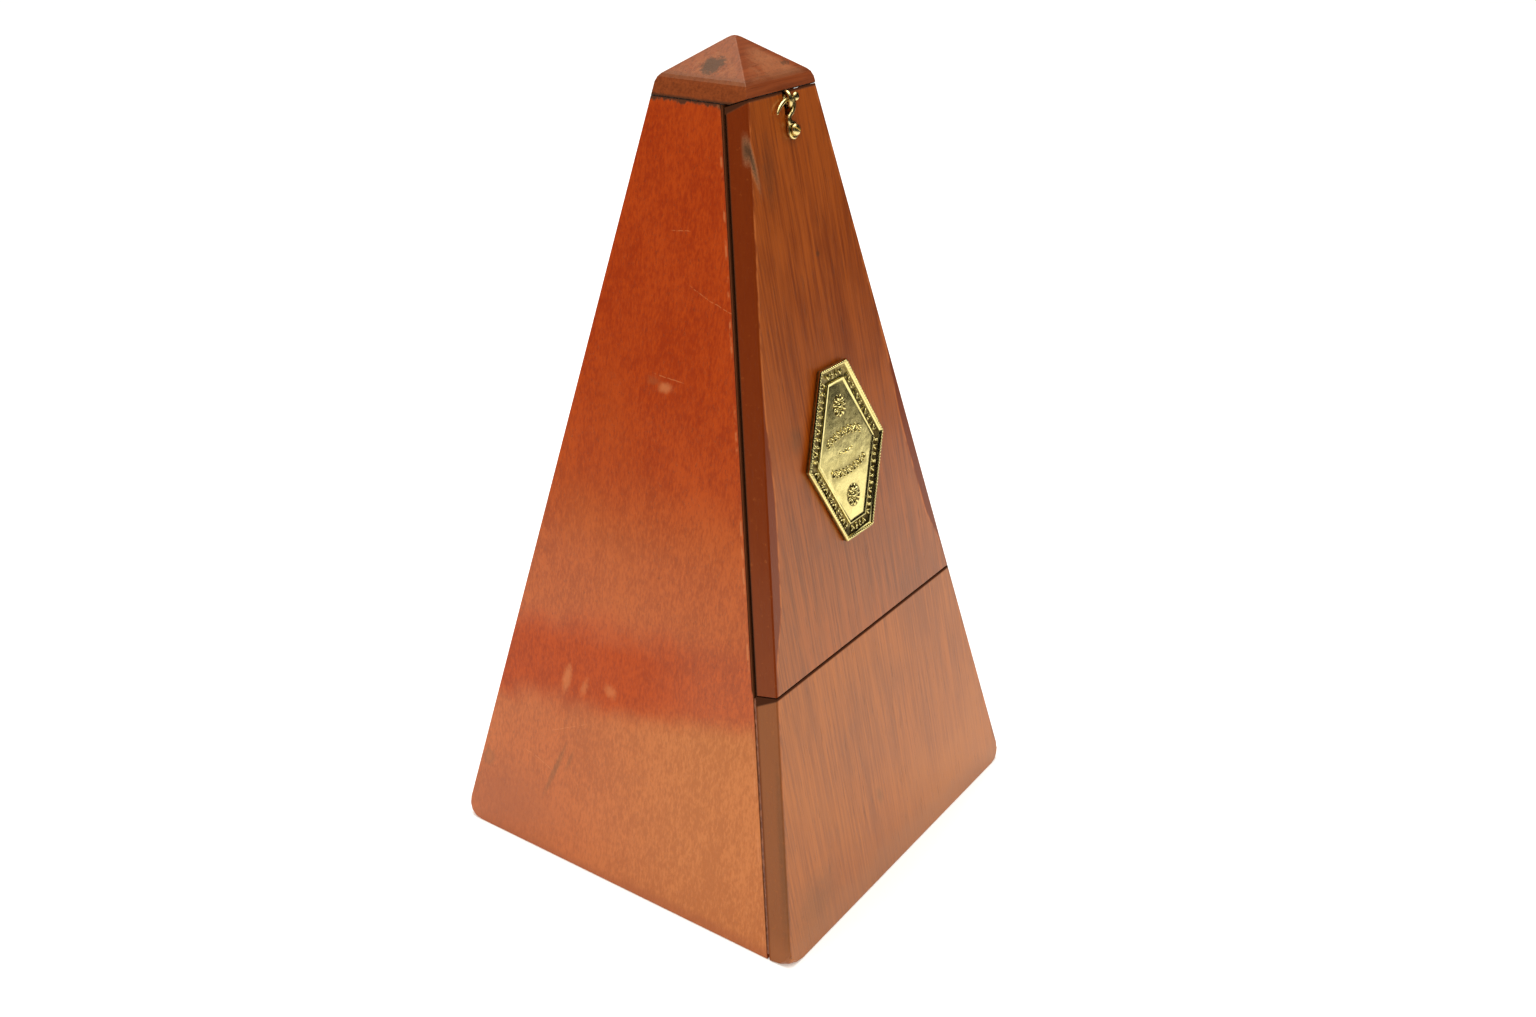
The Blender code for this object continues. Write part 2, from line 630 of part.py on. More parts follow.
def build_base():
    side = SIDE_THICKNESS + SEAT_GAP
    front = FRONT_THICKNESS + SEAT_GAP
    back = BACK_THICKNESS + SEAT_GAP
    x_faces = (lambda z: -half_width(z, side), lambda z: half_width(z, side))
    y_faces = (lambda z: -half_depth(z, front), lambda z: half_depth(z, back))
    bm = tapered_board(x_faces, y_faces, (0.0, BASE_THICKNESS))
    board = add_object("base_board", mesh_from(bm), INNER_WOOD)
    low = -BASE_THICKNESS
    for label, place in (("front", PILLAR_FRONT), ("back", PILLAR_REAR)):
        at = (0.0, place)
        sink = cylinder_mesh(FIXING_HEAD_RADIUS + SEAT_GAP, low, FIXING_SINK, ROUND_STEPS, at)
        combine(board, add_object("sink_cutter_" + label, sink))
        bore = cylinder_mesh(FIXING_SHANK_RADIUS + SEAT_GAP, low, PLATE_TOP, ROUND_STEPS, at)
        bore_cutter = add_object("bore_cutter_" + label, bore)
        combine(board, bore_cutter)
        build_rail(label, place, bore_cutter)
        build_fixing(label, place)


def build_rail(label, place, bore_cutter):
    """A wooden rail under the two movement plates."""
    low = BASE_THICKNESS + SEAT_GAP
    high = PLATE_FOOT - SEAT_GAP
    length = 2 * (PLATE_OUTSIDE + RAIL_OVERHANG)
    mesh = box_mesh((length, RAIL_WIDTH, high - low), (0.0, place, (low + high) / 2))
    combine(add_object("movement_rail_" + label, mesh, INNER_WOOD), bore_cutter)


def build_fixing(label, place):
    """A screw from under the base board, through the rail and into the lower pillar."""
    head_top = FIXING_SINK - SEAT_GAP
    head_foot = head_top - FIXING_HEAD_HEIGHT
    tip = PILLAR_LOW
    profile = ((0.0, tip), (FIXING_SHANK_RADIUS, tip), (FIXING_SHANK_RADIUS, head_top),
               (FIXING_HEAD_RADIUS, head_top), (FIXING_HEAD_RADIUS, head_foot), (0.0, head_foot))
    screw = turned("movement_fixing_" + label, profile, STEEL, None, (0.0, place, 0.0), SMALL_STEPS)
    slot = box_mesh((4 * FIXING_HEAD_RADIUS, FIXING_SLOT, FIXING_HEAD_HEIGHT), (0.0, place, head_foot))
    combine(screw, add_object("fixing_slot_cutter_" + label, slot))


def build_glue_blocks():
    low = BASE_THICKNESS + SEAT_GAP
    wall_x = SIDE_THICKNESS + SEAT_GAP
    ends = (("front", -1, FRONT_THICKNESS + SEAT_GAP), ("back", 1, BACK_THICKNESS + SEAT_GAP))
    for side_name, side in (("left", -1), ("right", 1)):
        for end_name, end, wall_y in ends:
            x_faces = [lambda z, s=side: s * half_width(z, wall_x + GLUE_BLOCK_SIZE),
                       lambda z, s=side: s * half_width(z, wall_x)]
            y_faces = [lambda z, e=end, w=wall_y: e * half_depth(z, w + GLUE_BLOCK_SIZE),
                       lambda z, e=end, w=wall_y: e * half_depth(z, w)]
            bm = tapered_board(x_faces[::side], y_faces[::end], (low, low + GLUE_BLOCK_HEIGHT))
            add_object("glue_block_" + end_name + "_" + side_name, mesh_from(bm), INNER_WOOD)


def build_cap():
    """Low pyramid roof over an upright band. The band is cut back over the door's slanting top edge."""
    low = SIDE_TOP + SEAT_GAP
    bm = tapered_board((lambda z: -half_width(z), lambda z: half_width(z)),
                       (lambda z: -half_depth(z), lambda z: half_depth(z)), (low, EAVE_TOP))
    top = max(bm.faces, key=lambda face: face.calc_center_median().z)
    eave_edges = list(top.edges)
    peak = bmesh.ops.poke(bm, faces=[top])["verts"][0]
    peak.co = (0.0, 0.0, TOTAL_HEIGHT)
    bmesh.ops.bevel(bm, geom=[peak], offset=APEX_RADIUS, offset_type="OFFSET", segments=3, profile=0.5,
                    affect="VERTICES")
    bmesh.ops.bevel(bm, geom=eave_edges, offset=CAP_EDGE_RADIUS, offset_type="OFFSET", segments=2,
                    profile=0.5, affect="EDGES")
    cap = add_object("top_cap", mesh_from(bm), CAP_WOOD)
    undercut = front_board(lambda out: DOOR_HOLLOW_TOP, lambda out: door_top(out) + DOOR_TOP_GAP,
                           FRONT_THICKNESS + DOOR_GAP + BASE_DEPTH, -BASE_THICKNESS, BASE_THICKNESS)
    combine(cap, add_object("door_rebate_cutter", mesh_from(undercut), None, front_frame))


# ---------------------------------------------------------------- door and its fittings
def door_top(out):
    """Top edge of the door at a place out of the face: it slants down to the back."""
    return DOOR_TOP + out * math.tan(DOOR_TOP_ANGLE)


def build_door():
    foot = DOOR_SPLIT + DOOR_FOOT_GAP
    bm = front_board(lambda out: foot, door_top, FRONT_THICKNESS)
    door = add_object("front_door", mesh_from(bm), FRONT_WOOD, front_frame)
    hollow = front_board(lambda out: DOOR_HOLLOW_FOOT, lambda out: DOOR_HOLLOW_TOP,
                         2 * DOOR_HOLLOW_DEPTH, DOOR_RAIL, -(FRONT_THICKNESS - DOOR_HOLLOW_DEPTH))
    combine(door, add_object("door_hollow_cutter", mesh_from(hollow), None, front_frame))
    slot = box_mesh((EYE_SLOT_WIDTH, 2 * EYE_SLOT_DROP, 4 * FRONT_THICKNESS), (EYE_X, DOOR_TOP, 0.0))
    combine(door, add_object("eye_slot_cutter", slot, None, front_frame))
    pilot = cylinder_mesh(LATCH_SHANK_RADIUS + SEAT_GAP, -LATCH_SHANK_LENGTH - SEAT_GAP, FRONT_THICKNESS)
    combine(door, add_object("latch_pilot_cutter", pilot, None, front_frame, (LATCH_X, LATCH_PIVOT, 0.0)))


def build_tongues():
    """Brass tongues on the back of the door that hook behind the lower front panel."""
    outer = -FRONT_THICKNESS - SEAT_GAP
    for label, side in (("left", -1), ("right", 1)):
        low = DOOR_SPLIT - TONGUE_DROP
        high = DOOR_SPLIT + TONGUE_RISE
        size = (TONGUE_WIDTH, high - low, TONGUE_THICKNESS)
        centre = (side * TONGUE_X, (low + high) / 2, outer - TONGUE_THICKNESS / 2)
        add_object("door_tongue_" + label, box_mesh(size, centre), BRASS, front_frame)


def hexagon(half_width_of, half_height_of, end_half_width):
    """The nameplate's long hexagon, with short level ends."""
    return [(end_half_width, half_height_of), (-end_half_width, half_height_of), (-half_width_of, 0.0),
            (-end_half_width, -half_height_of), (end_half_width, -half_height_of), (half_width_of, 0.0)]


def build_nameplate():
    place = (PLATE_X, PLATE_HEIGHT_ON_FACE, SEAT_GAP)
    outer = hexagon(PLATE_HALF_WIDTH, PLATE_HALF_HEIGHT, PLATE_END_HALF_WIDTH)
    rim = PLATE_RIM_WIDTH
    inner = hexagon(PLATE_HALF_WIDTH - 1.2 * rim, PLATE_HALF_HEIGHT - rim, PLATE_END_HALF_WIDTH - 0.6 * rim)
    plate = add_object("nameplate", outline_mesh([outer], 0.0, PLATE_RIM_HEIGHT), BRASS, front_frame, place)
    field = outline_mesh([inner], PLATE_SHEET, 2 * PLATE_RIM_HEIGHT)
    combine(plate, add_object("nameplate_field_cutter", field, None, front_frame, place))


def hook_arm():
    """The catching arm of the latch hook: an arc about the latch screw."""
    inner = arc(HOOK_RADIUS - HOOK_WIDTH / 2, HOOK_ARM_START, HOOK_ARM_END, 8)
    outer = arc(HOOK_RADIUS + HOOK_WIDTH / 2, HOOK_ARM_END, HOOK_ARM_START, 8)
    return inner + outer


def hook_neck():
    """The S-shaped neck from the latch screw up to the arm."""
    shares = ((-0.05, 0.22), (-0.15, 0.34), (-0.07, 0.47), (0.10, 0.57), (0.20, 0.66), (0.23, 0.79),
              (0.23, 0.99))
    return [(across * HOOK_RADIUS, up * HOOK_RADIUS) for across, up in shares]


def build_latch_hook():
    low = SEAT_GAP
    high = low + HOOK_THICKNESS
    bore = circle(hole_radius(LATCH_SHANK_RADIUS), ROUND_STEPS)
    ring = outline_mesh([circle(HOOK_EYE_RADIUS), bore], low, high)
    hook = add_object("latch_hook", ring, BRASS, hook_axis)
    neck = outline_mesh([ribbon(hook_neck(), HOOK_WIDTH)], low, high)
    combine(hook, add_object("hook_neck_tool", neck, None, hook_axis), "UNION")
    arm = outline_mesh([hook_arm()], low, high)
    combine(hook, add_object("hook_arm_tool", arm, None, hook_axis), "UNION")
    knob_place = (HOOK_RADIUS * math.cos(HOOK_ARM_START) + HOOK_KNOB_RADIUS,
                  HOOK_RADIUS * math.sin(HOOK_ARM_START) + HOOK_KNOB_RADIUS / 3, low + HOOK_KNOB_RADIUS)
    bm = bmesh.new()
    bmesh.ops.create_icosphere(bm, subdivisions=2, radius=HOOK_KNOB_RADIUS)
    combine(hook, add_object("hook_knob_tool", mesh_from(bm), None, hook_axis, knob_place), "UNION")


def build_latch_screw():
    under = SEAT_GAP + HOOK_THICKNESS + SEAT_GAP
    crown = under + LATCH_HEAD_HEIGHT
    profile = ((0.0, crown), (0.6 * LATCH_HEAD_RADIUS, crown - 0.15 * LATCH_HEAD_HEIGHT),
               (0.9 * LATCH_HEAD_RADIUS, crown - 0.45 * LATCH_HEAD_HEIGHT),
               (LATCH_HEAD_RADIUS, under + 0.1 * LATCH_HEAD_HEIGHT), (LATCH_HEAD_RADIUS, under),
               (LATCH_SHANK_RADIUS, under), (LATCH_SHANK_RADIUS, -LATCH_SHANK_LENGTH),
               (0.0, -LATCH_SHANK_LENGTH))
    screw = turned("latch_screw", profile, BRASS, hook_axis)
    slot = box_mesh((4 * LATCH_HEAD_RADIUS, LATCH_SLOT, LATCH_HEAD_HEIGHT), (0.0, 0.0, crown))
    combine(screw, add_object("latch_slot_cutter", slot, None, hook_axis))


def eye_centre():
    """Place up the face and out from it of the latch eye's centre, level with the hook's arm."""
    return (LATCH_PIVOT + HOOK_RADIUS, EYE_CENTRE_OUT)


def build_latch_eye():
    """A wire eye on a stem, open at the front so that the hook's arm can leave it with the door."""
    up, out = eye_centre()
    half_mouth = math.asin((EYE_MOUTH / 2 + EYE_WIRE) / EYE_RADIUS)
    ring = arc(EYE_RADIUS, half_mouth, 2 * math.pi - half_mouth, 18, (out, up))
    points = [(EYE_X, height, reach) for reach, height in ring]
    eye = add_object("latch_eye", swept_mesh(points, EYE_WIRE), BRASS, front_frame)
    stem_start = out - EYE_RADIUS
    stem_end = -SCALE_BOARD_SET_BACK - EYE_STEM_DEPTH
    stem = cylinder_mesh(EYE_STEM_RADIUS, stem_end, stem_start, SMALL_STEPS)
    combine(eye, add_object("eye_stem_tool", stem, None, front_frame, (EYE_X, up, 0.0)), "UNION")


# ---------------------------------------------------------------- scale
def build_scale_board():
    front = -SCALE_BOARD_SET_BACK
    bm = front_board(lambda out: SCALE_BOARD_FOOT, lambda out: up_at(SIDE_TOP - SEAT_GAP, out),
                     SCALE_BOARD_THICKNESS, SIDE_THICKNESS + SEAT_GAP, front)
    board = add_object("scale_board", mesh_from(bm), INNER_WOOD, front_frame)
    foot = -EYE_STEM_DEPTH - SEAT_GAP
    hole = cylinder_mesh(EYE_STEM_RADIUS + SEAT_GAP, foot, SCALE_BOARD_SET_BACK, SMALL_STEPS)
    place = (EYE_X, eye_centre()[0], front)
    combine(board, add_object("eye_hole_cutter", hole, None, front_frame, place))


def build_scale_plate():
    """A thin brass scale with cut graduations that close up towards the top."""
    low = -SCALE_BOARD_SET_BACK + SEAT_GAP
    high = low + SCALE_PLATE_THICKNESS
    size = (2 * SCALE_PLATE_HALF_WIDTH, SCALE_PLATE_TOP - SCALE_PLATE_FOOT, SCALE_PLATE_THICKNESS)
    centre = (0.0, (SCALE_PLATE_TOP + SCALE_PLATE_FOOT) / 2, (low + high) / 2)
    plate = add_object("scale_plate", box_mesh(size, centre), BRASS, front_frame)
    bm = bmesh.new()
    first = SCALE_PLATE_TOP - SCALE_MARK_LENGTH
    span = first - SCALE_PLATE_FOOT - SCALE_MARK_LENGTH
    for mark in range(SCALE_MARKS):
        share = mark / (SCALE_MARKS - 1)
        side = 1 if mark % 2 else -1
        across = side * (SCALE_PLATE_HALF_WIDTH - SCALE_MARK_LENGTH)
        cube = bmesh.ops.create_cube(bm, size=1.0)["verts"]
        bmesh.ops.scale(bm, vec=(SCALE_MARK_LENGTH, SCALE_MARK_WIDTH, 2 * SCALE_MARK_DEPTH), verts=cube)
        bmesh.ops.translate(bm, vec=(across, first - span * share ** SCALE_CROWDING, high), verts=cube)
    combine(plate, add_object("scale_mark_cutter", mesh_from(bm), None, front_frame))


def build_catch():
    """A brass rest behind the top of the pendulum rod, notched for the rod."""
    low = -SCALE_BOARD_SET_BACK + SEAT_GAP
    high = -(ROD_FRONT + ROD_THICKNESS) - CATCH_CLEARANCE
    size = (2 * CATCH_HALF_WIDTH, 2 * CATCH_HALF_HEIGHT, high - low)
    mesh = box_mesh(size, (0.0, CATCH_HEIGHT, (low + high) / 2))
    catch = add_object("pendulum_catch", mesh, BRASS, front_frame)
    notch = box_mesh((ROD_WIDTH, 4 * CATCH_HALF_HEIGHT, ROD_THICKNESS), (0.0, CATCH_HEIGHT, high))
    combine(catch, add_object("catch_notch_cutter", notch, None, front_frame))


# ---------------------------------------------------------------- pendulum, about its own axis
def build_pendulum_rod():
    """A flat steel strip, cranked forward above the lower front panel."""
    crank = CRANK_START - PIVOT_HEIGHT
    side_view = [(ROD_FOOT - PIVOT_HEIGHT, -ROD_SET_BACK), (crank, -ROD_SET_BACK),
                 (crank + CRANK_LENGTH, -ROD_FRONT), (ROD_TOP - PIVOT_HEIGHT, -ROD_FRONT)]
    loop = side_view + [(up, out - ROD_THICKNESS) for up, out in side_view[::-1]]
    mesh = outline_mesh([loop], -ROD_WIDTH / 2, ROD_WIDTH / 2)
    for vert in mesh.vertices:
        up, out, across = vert.co
        vert.co = (across, up, out)
    add_object("pendulum_rod", mesh, STEEL, pendulum_axis)


def build_pendulum_weights():
    hub_front = -PENDULUM_SET_BACK + HUB_THICKNESS / 2
    hub_back = hub_front - HUB_THICKNESS
    bore = hole_radius(VERGE_RADIUS, ROUND_STEPS, DRIVE_CLEARANCE)
    profile = ((bore, hub_front), (HUB_RADIUS, hub_front), (HUB_RADIUS, hub_back), (bore, hub_back))
    turned("pendulum_hub", profile, BRASS, pendulum_axis)
    top = -HUB_RADIUS - SEAT_GAP
    bob_place = BOB_HEIGHT - PIVOT_HEIGHT
    rod = cylinder_mesh(LOWER_ROD_RADIUS, top - LOWER_ROD_LENGTH, top, SMALL_STEPS)
    for vert in rod.vertices:
        across, out, up = vert.co
        vert.co = (across, up, -PENDULUM_SET_BACK - out)
    add_object("lower_rod", rod, STEEL, pendulum_axis)
    half = BOB_THICKNESS / 2
    edge = half / 3
    profile = ((0.0, half), (BOB_RADIUS - edge, half), (BOB_RADIUS, half - edge), (BOB_RADIUS, edge - half),
               (BOB_RADIUS - edge, -half), (0.0, -half))
    turned("pendulum_bob", profile, LEAD, pendulum_axis, (0.0, bob_place, -PENDULUM_SET_BACK), FINE_STEPS)


def build_sliding_weight():
    """A brass weight that rides on the rod, with a leaf spring in its slot."""
    half = WEIGHT_HALF_HEIGHT
    shoulder = 0.7 * half
    foot = WEIGHT_FOOT_HALF_WIDTH
    top = WEIGHT_TOP_HALF_WIDTH
    loop = [(-foot, -half), (foot, -half), (top, shoulder), (top, half), (-top, half), (-top, shoulder)]
    slot_front = -ROD_FRONT + SPRING_LEAF_ROOM
    slot_back = -ROD_FRONT - ROD_THICKNESS - WEIGHT_CLEARANCE
    body = outline_mesh([loop], slot_back - WEIGHT_WALL_BACK, slot_front + WEIGHT_WALL_FRONT)
    weight = add_object("sliding_weight", body, BRASS, weight_axis)
    size = (ROD_WIDTH + 2 * WEIGHT_CLEARANCE, 4 * half, slot_front - slot_back)
    slot = box_mesh(size, (0.0, 0.0, (slot_front + slot_back) / 2))
    combine(weight, add_object("weight_slot_cutter", slot, None, weight_axis))
    leaf_middle = -ROD_FRONT + SPRING_LEAF_ROOM / 2
    leaf = box_mesh((ROD_WIDTH * 0.7, 1.6 * half, SPRING_LEAF), (0.0, 0.0, leaf_middle))
    add_object("weight_spring", leaf, BLUED_STEEL, weight_axis)


def build_verge():
    """The pallet arbor, which runs back from the pendulum past the face of the crown wheel."""
    front = -PENDULUM_SET_BACK + HUB_THICKNESS / 2
    back = -REAR_BRIDGE_DEPTH - 2 * BRIDGE_THICKNESS
    arbor = cylinder_mesh(VERGE_RADIUS, back, front, SMALL_STEPS)
    add_object("pallet_arbor", arbor, STEEL, pendulum_axis)
    reach = CROWN_RADIUS - CROWN_RIM / 2
    for label, place, angle in (("front", -ESCAPE_DEPTH + reach, math.pi - PALLET_ANGLE),
                                ("rear", -ESCAPE_DEPTH - reach, math.pi + PALLET_ANGLE)):
        low = place - PALLET_WIDTH / 2
        high = place + PALLET_WIDTH / 2
        bore = circle(hole_radius(VERGE_RADIUS, ROUND_STEPS, DRIVE_CLEARANCE))
        middle = (0.0, 0.0, 0.0)
        collar = outline_mesh([circle(PALLET_COLLAR_RADIUS), bore], low, high)
        pallet = add_object(label + "_pallet", collar, BLUED_STEEL, pendulum_axis, middle, angle)
        start = (PALLET_COLLAR_RADIUS + hole_radius(VERGE_RADIUS)) / 2
        flag = box_mesh((PALLET_LENGTH - start, PALLET_THICKNESS, PALLET_WIDTH),
                        ((PALLET_LENGTH + start) / 2, 0.0, place))
        tool = add_object(label + "_flag_tool", flag, None, pendulum_axis, middle, angle)
        combine(pallet, tool, "UNION")


# ---------------------------------------------------------------- movement, seen from the right side
def second_centre():
    """Centre (y, z) of the second wheel, behind the line from the barrel to the crown wheel."""
    along = (FIRST_DISTANCE ** 2 - SECOND_DISTANCE ** 2 + TRAIN_LENGTH ** 2) / (2 * TRAIN_LENGTH)
    offset = math.sqrt(FIRST_DISTANCE ** 2 - along ** 2)
    unit = (math.cos(TRAIN_ANGLE), math.sin(TRAIN_ANGLE))
    return (BARREL_Y + unit[0] * along + unit[1] * offset, BARREL_Z + unit[1] * along - unit[0] * offset)


def angle_between(start, end):
    return math.atan2(end[1] - start[1], end[0] - start[0])


def build_plates():
    """Two brass plates that carry every arbor, with holes for their pivots and pillars."""
    outline = rounded_rectangle(PLATE_FRONT, PLATE_FOOT, PLATE_BACK, PLATE_TOP, PLATE_CORNER)
    tenon = hole_radius(PILLAR_TENON_RADIUS, SMALL_STEPS)
    pillars = [circle(tenon, SMALL_STEPS, place) for place in pillar_places().values()]
    arbor_hole = circle(hole_radius(ARBOR_RADIUS), ROUND_STEPS, (BARREL_Y, BARREL_Z))
    second_hole = circle(hole_radius(STAFF_RADIUS), ROUND_STEPS, second_centre())
    escape_hole = circle(hole_radius(STAFF_RADIUS), ROUND_STEPS, (ESCAPE_Y, ESCAPE_Z))
    for name, side, holes in (("left_plate", -1, [arbor_hole, second_hole, escape_hole]),
                              ("right_plate", 1, [arbor_hole, second_hole])):
        low = min(side * PLATE_INSIDE, side * PLATE_OUTSIDE)
        mesh = outline_mesh([outline] + holes + pillars, low, low + PLATE_THICKNESS)
        add_object(name, mesh, BRASS, movement_frame)


def pillar_places():
    return {"front_lower": (PILLAR_FRONT, PILLAR_LOW), "back_lower": (PILLAR_REAR, PILLAR_LOW),
            "back_upper": (PILLAR_REAR, PILLAR_HIGH)}


def build_pillars():
    """Spacers between the plates, riveted on the left and nutted on the right.

    The two lower ones are tapped from below for the screws that hold the movement.
    """
    shoulder = PLATE_INSIDE - SEAT_GAP
    rivet = -PLATE_OUTSIDE - SEAT_GAP
    low = PLATE_OUTSIDE + SEAT_GAP
    stud = low + NUT_THICKNESS
    for label, (y, z) in pillar_places().items():
        profile = ((0.0, stud), (PILLAR_TENON_RADIUS, stud), (PILLAR_TENON_RADIUS, shoulder),
                   (PILLAR_RADIUS, shoulder), (PILLAR_RADIUS, -shoulder), (PILLAR_TENON_RADIUS, -shoulder),
                   (PILLAR_TENON_RADIUS, rivet), (0.0, rivet))
        pillar = turned("pillar_" + label, profile, BRASS, movement_frame, (y, z, 0.0), SMALL_STEPS)
        if "lower" in label:
            tapping = cylinder_mesh(FIXING_SHANK_RADIUS + SEAT_GAP, 0.0, z + SEAT_GAP)
            combine(pillar, add_object("tapping_cutter_" + label, tapping, None, None, (0.0, y, 0.0)))
        bore = circle(hole_radius(PILLAR_TENON_RADIUS, SMALL_STEPS), SMALL_STEPS)
        nut = outline_mesh([circle(NUT_RADIUS, 6), bore], low, stud)
        add_object("pillar_nut_" + label, nut, STEEL, movement_frame, (y, z, 0.0))


def build_barrel():
    """The going barrel: a drum and the great wheel in one piece, a cap, and the mainspring inside."""
    phase = angle_between((BARREL_Y, BARREL_Z), second_centre())
    bore = circle(hole_radius(ARBOR_RADIUS))
    wheel_end = GREAT_WHEEL_X + GREAT_WHEEL_THICKNESS
    wheel = outline_mesh([wheel_outline(GREAT_MODULE, phase), bore], GREAT_WHEEL_X, wheel_end)
    barrel = add_object("barrel_wheel", wheel, BRASS, barrel_axis)
    inside = BARREL_RADIUS - BARREL_WALL
    overlap = GREAT_WHEEL_X + GREAT_WHEEL_THICKNESS / 2
    walls = [circle(BARREL_RADIUS, FINE_STEPS), circle(inside, FINE_STEPS)]
    drum = outline_mesh(walls, BARREL_LEFT, overlap)
    combine(barrel, add_object("barrel_drum_tool", drum, None, barrel_axis), "UNION")
    cap_high = BARREL_LEFT - SEAT_GAP
    cap = outline_mesh([circle(BARREL_RADIUS, FINE_STEPS), bore], cap_high - BARREL_CAP_THICKNESS, cap_high)
    add_object("barrel_cap", cap, BRASS, barrel_axis)
    build_mainspring(inside)


def build_mainspring(inside):
    """A flat spiral strip, clear of the arbor inside it and the drum outside it."""
    start = ARBOR_RADIUS + SPRING_STRIP / 2 + SEAT_GAP
    end = inside - SPRING_STRIP / 2 - SEAT_GAP
    count = SPRING_TURNS * SPRING_STEPS
    line = []
    for step in range(count + 1):
        radius = start + (end - start) * step / count
        angle = 2 * math.pi * step / SPRING_STEPS
        line.append((radius * math.cos(angle), radius * math.sin(angle)))
    low = BARREL_LEFT + 2 * SEAT_GAP
    high = GREAT_WHEEL_X - 2 * SEAT_GAP
    add_object("mainspring", outline_mesh([ribbon(line, SPRING_STRIP)], low, high), BLUED_STEEL, barrel_axis)


def arbor_end():
    """The winding arbor's outer end, a little inside the case's right side."""
    return half_width(BARREL_Z) - ARBOR_SINK


def build_winding_arbor():
    left = -PLATE_OUTSIDE - SEAT_GAP
    shoulder = arbor_end() - ARBOR_SQUARE_LENGTH
    arbor = add_object("winding_arbor", cylinder_mesh(ARBOR_RADIUS, left, shoulder), STEEL, winding_axis)
    overlap = shoulder - ARBOR_RADIUS
    length = arbor_end() - overlap
    square = box_mesh((ARBOR_SQUARE, ARBOR_SQUARE, length), (0.0, 0.0, overlap + length / 2))
    combine(arbor, add_object("arbor_square_tool", square, None, winding_axis), "UNION")


def build_ratchet():
    """The ratchet wheel on the winding arbor: slanted teeth, outside the right plate."""
    loop = []
    pitch = 2 * math.pi / RATCHET_TEETH
    for tooth in range(RATCHET_TEETH):
        angle = tooth * pitch
        root = RATCHET_RADIUS - RATCHET_TOOTH
        loop.append((RATCHET_RADIUS * math.cos(angle), RATCHET_RADIUS * math.sin(angle)))
        foot = angle + RATCHET_UNDERCUT * pitch
        loop.append((root * math.cos(foot), root * math.sin(foot)))
    bore = circle(hole_radius(ARBOR_RADIUS, ROUND_STEPS, DRIVE_CLEARANCE))
    mesh = outline_mesh([loop, bore], RATCHET_X, RATCHET_X + RATCHET_THICKNESS)
    add_object("ratchet_wheel", mesh, STEEL, winding_axis)


def click_pivot():
    """Centre (y, z) of the click's screw, and the place of the click's tip."""
    reach = RATCHET_RADIUS + CLICK_CLEARANCE
    tip = (BARREL_Y + reach * math.cos(CLICK_ANGLE), BARREL_Z + reach * math.sin(CLICK_ANGLE))
    away = CLICK_ANGLE - CLICK_APPROACH
    return (tip[0] + CLICK_REACH * math.cos(away), tip[1] + CLICK_REACH * math.sin(away)), tip


def build_click():
    """The click on its screw, and its spring."""
    pivot, tip = click_pivot()
    low = RATCHET_X
    high = RATCHET_X + RATCHET_THICKNESS
    aim = angle_between(pivot, tip)
    boss = CLICK_BOSS_RADIUS
    bore = circle(hole_radius(CLICK_SHANK_RADIUS), ROUND_STEPS)
    click = add_object("click", outline_mesh([circle(boss), bore], low, high), STEEL, click_axis)
    root = 0.75 * boss
    width = CLICK_TIP_WIDTH
    beak = [(root, -root), (CLICK_REACH - width / 2, -width), (CLICK_REACH, 0.0), (root, root)]
    beak_mesh = outline_mesh([beak], low, high)
    tool = add_object("click_beak_tool", beak_mesh, None, click_axis, (0.0, 0.0, 0.0), aim)
    combine(click, tool, "UNION")
    under = high + SEAT_GAP
    top = under + CLICK_HEAD_HEIGHT
    foot = PLATE_OUTSIDE + SEAT_GAP
    profile = ((0.0, top), (CLICK_HEAD_RADIUS, top), (CLICK_HEAD_RADIUS, under), (CLICK_SHANK_RADIUS, under),
               (CLICK_SHANK_RADIUS, foot), (0.0, foot))
    turned("click_screw", profile, STEEL, click_axis, (0.0, 0.0, 0.0), SMALL_STEPS)
    build_click_spring(pivot, aim, (low + high) / 2, foot)


def build_click_spring(pivot, aim, level, foot):
    """A bent wire that stands on the right plate and runs along the back of the click."""
    away = aim - math.pi / 2
    start = CLICK_BOSS_RADIUS + CLICK_SPRING_RADIUS + SEAT_GAP
    steps = 8
    line = []
    for step in range(steps + 1):
        share = step / steps
        along = CLICK_BOSS_RADIUS / 2 - CLICK_SPRING_LENGTH * (1 - share)
        rise = start + CLICK_SPRING_SWEEP * (1 - share) ** 2
        line.append((pivot[0] + along * math.cos(aim) + rise * math.cos(away),
                     pivot[1] + along * math.sin(aim) + rise * math.sin(away), level))
    post = [(line[0][0], line[0][1], foot)]
    add_object("click_spring", swept_mesh(post + line, CLICK_SPRING_RADIUS), BLUED_STEEL, movement_frame)


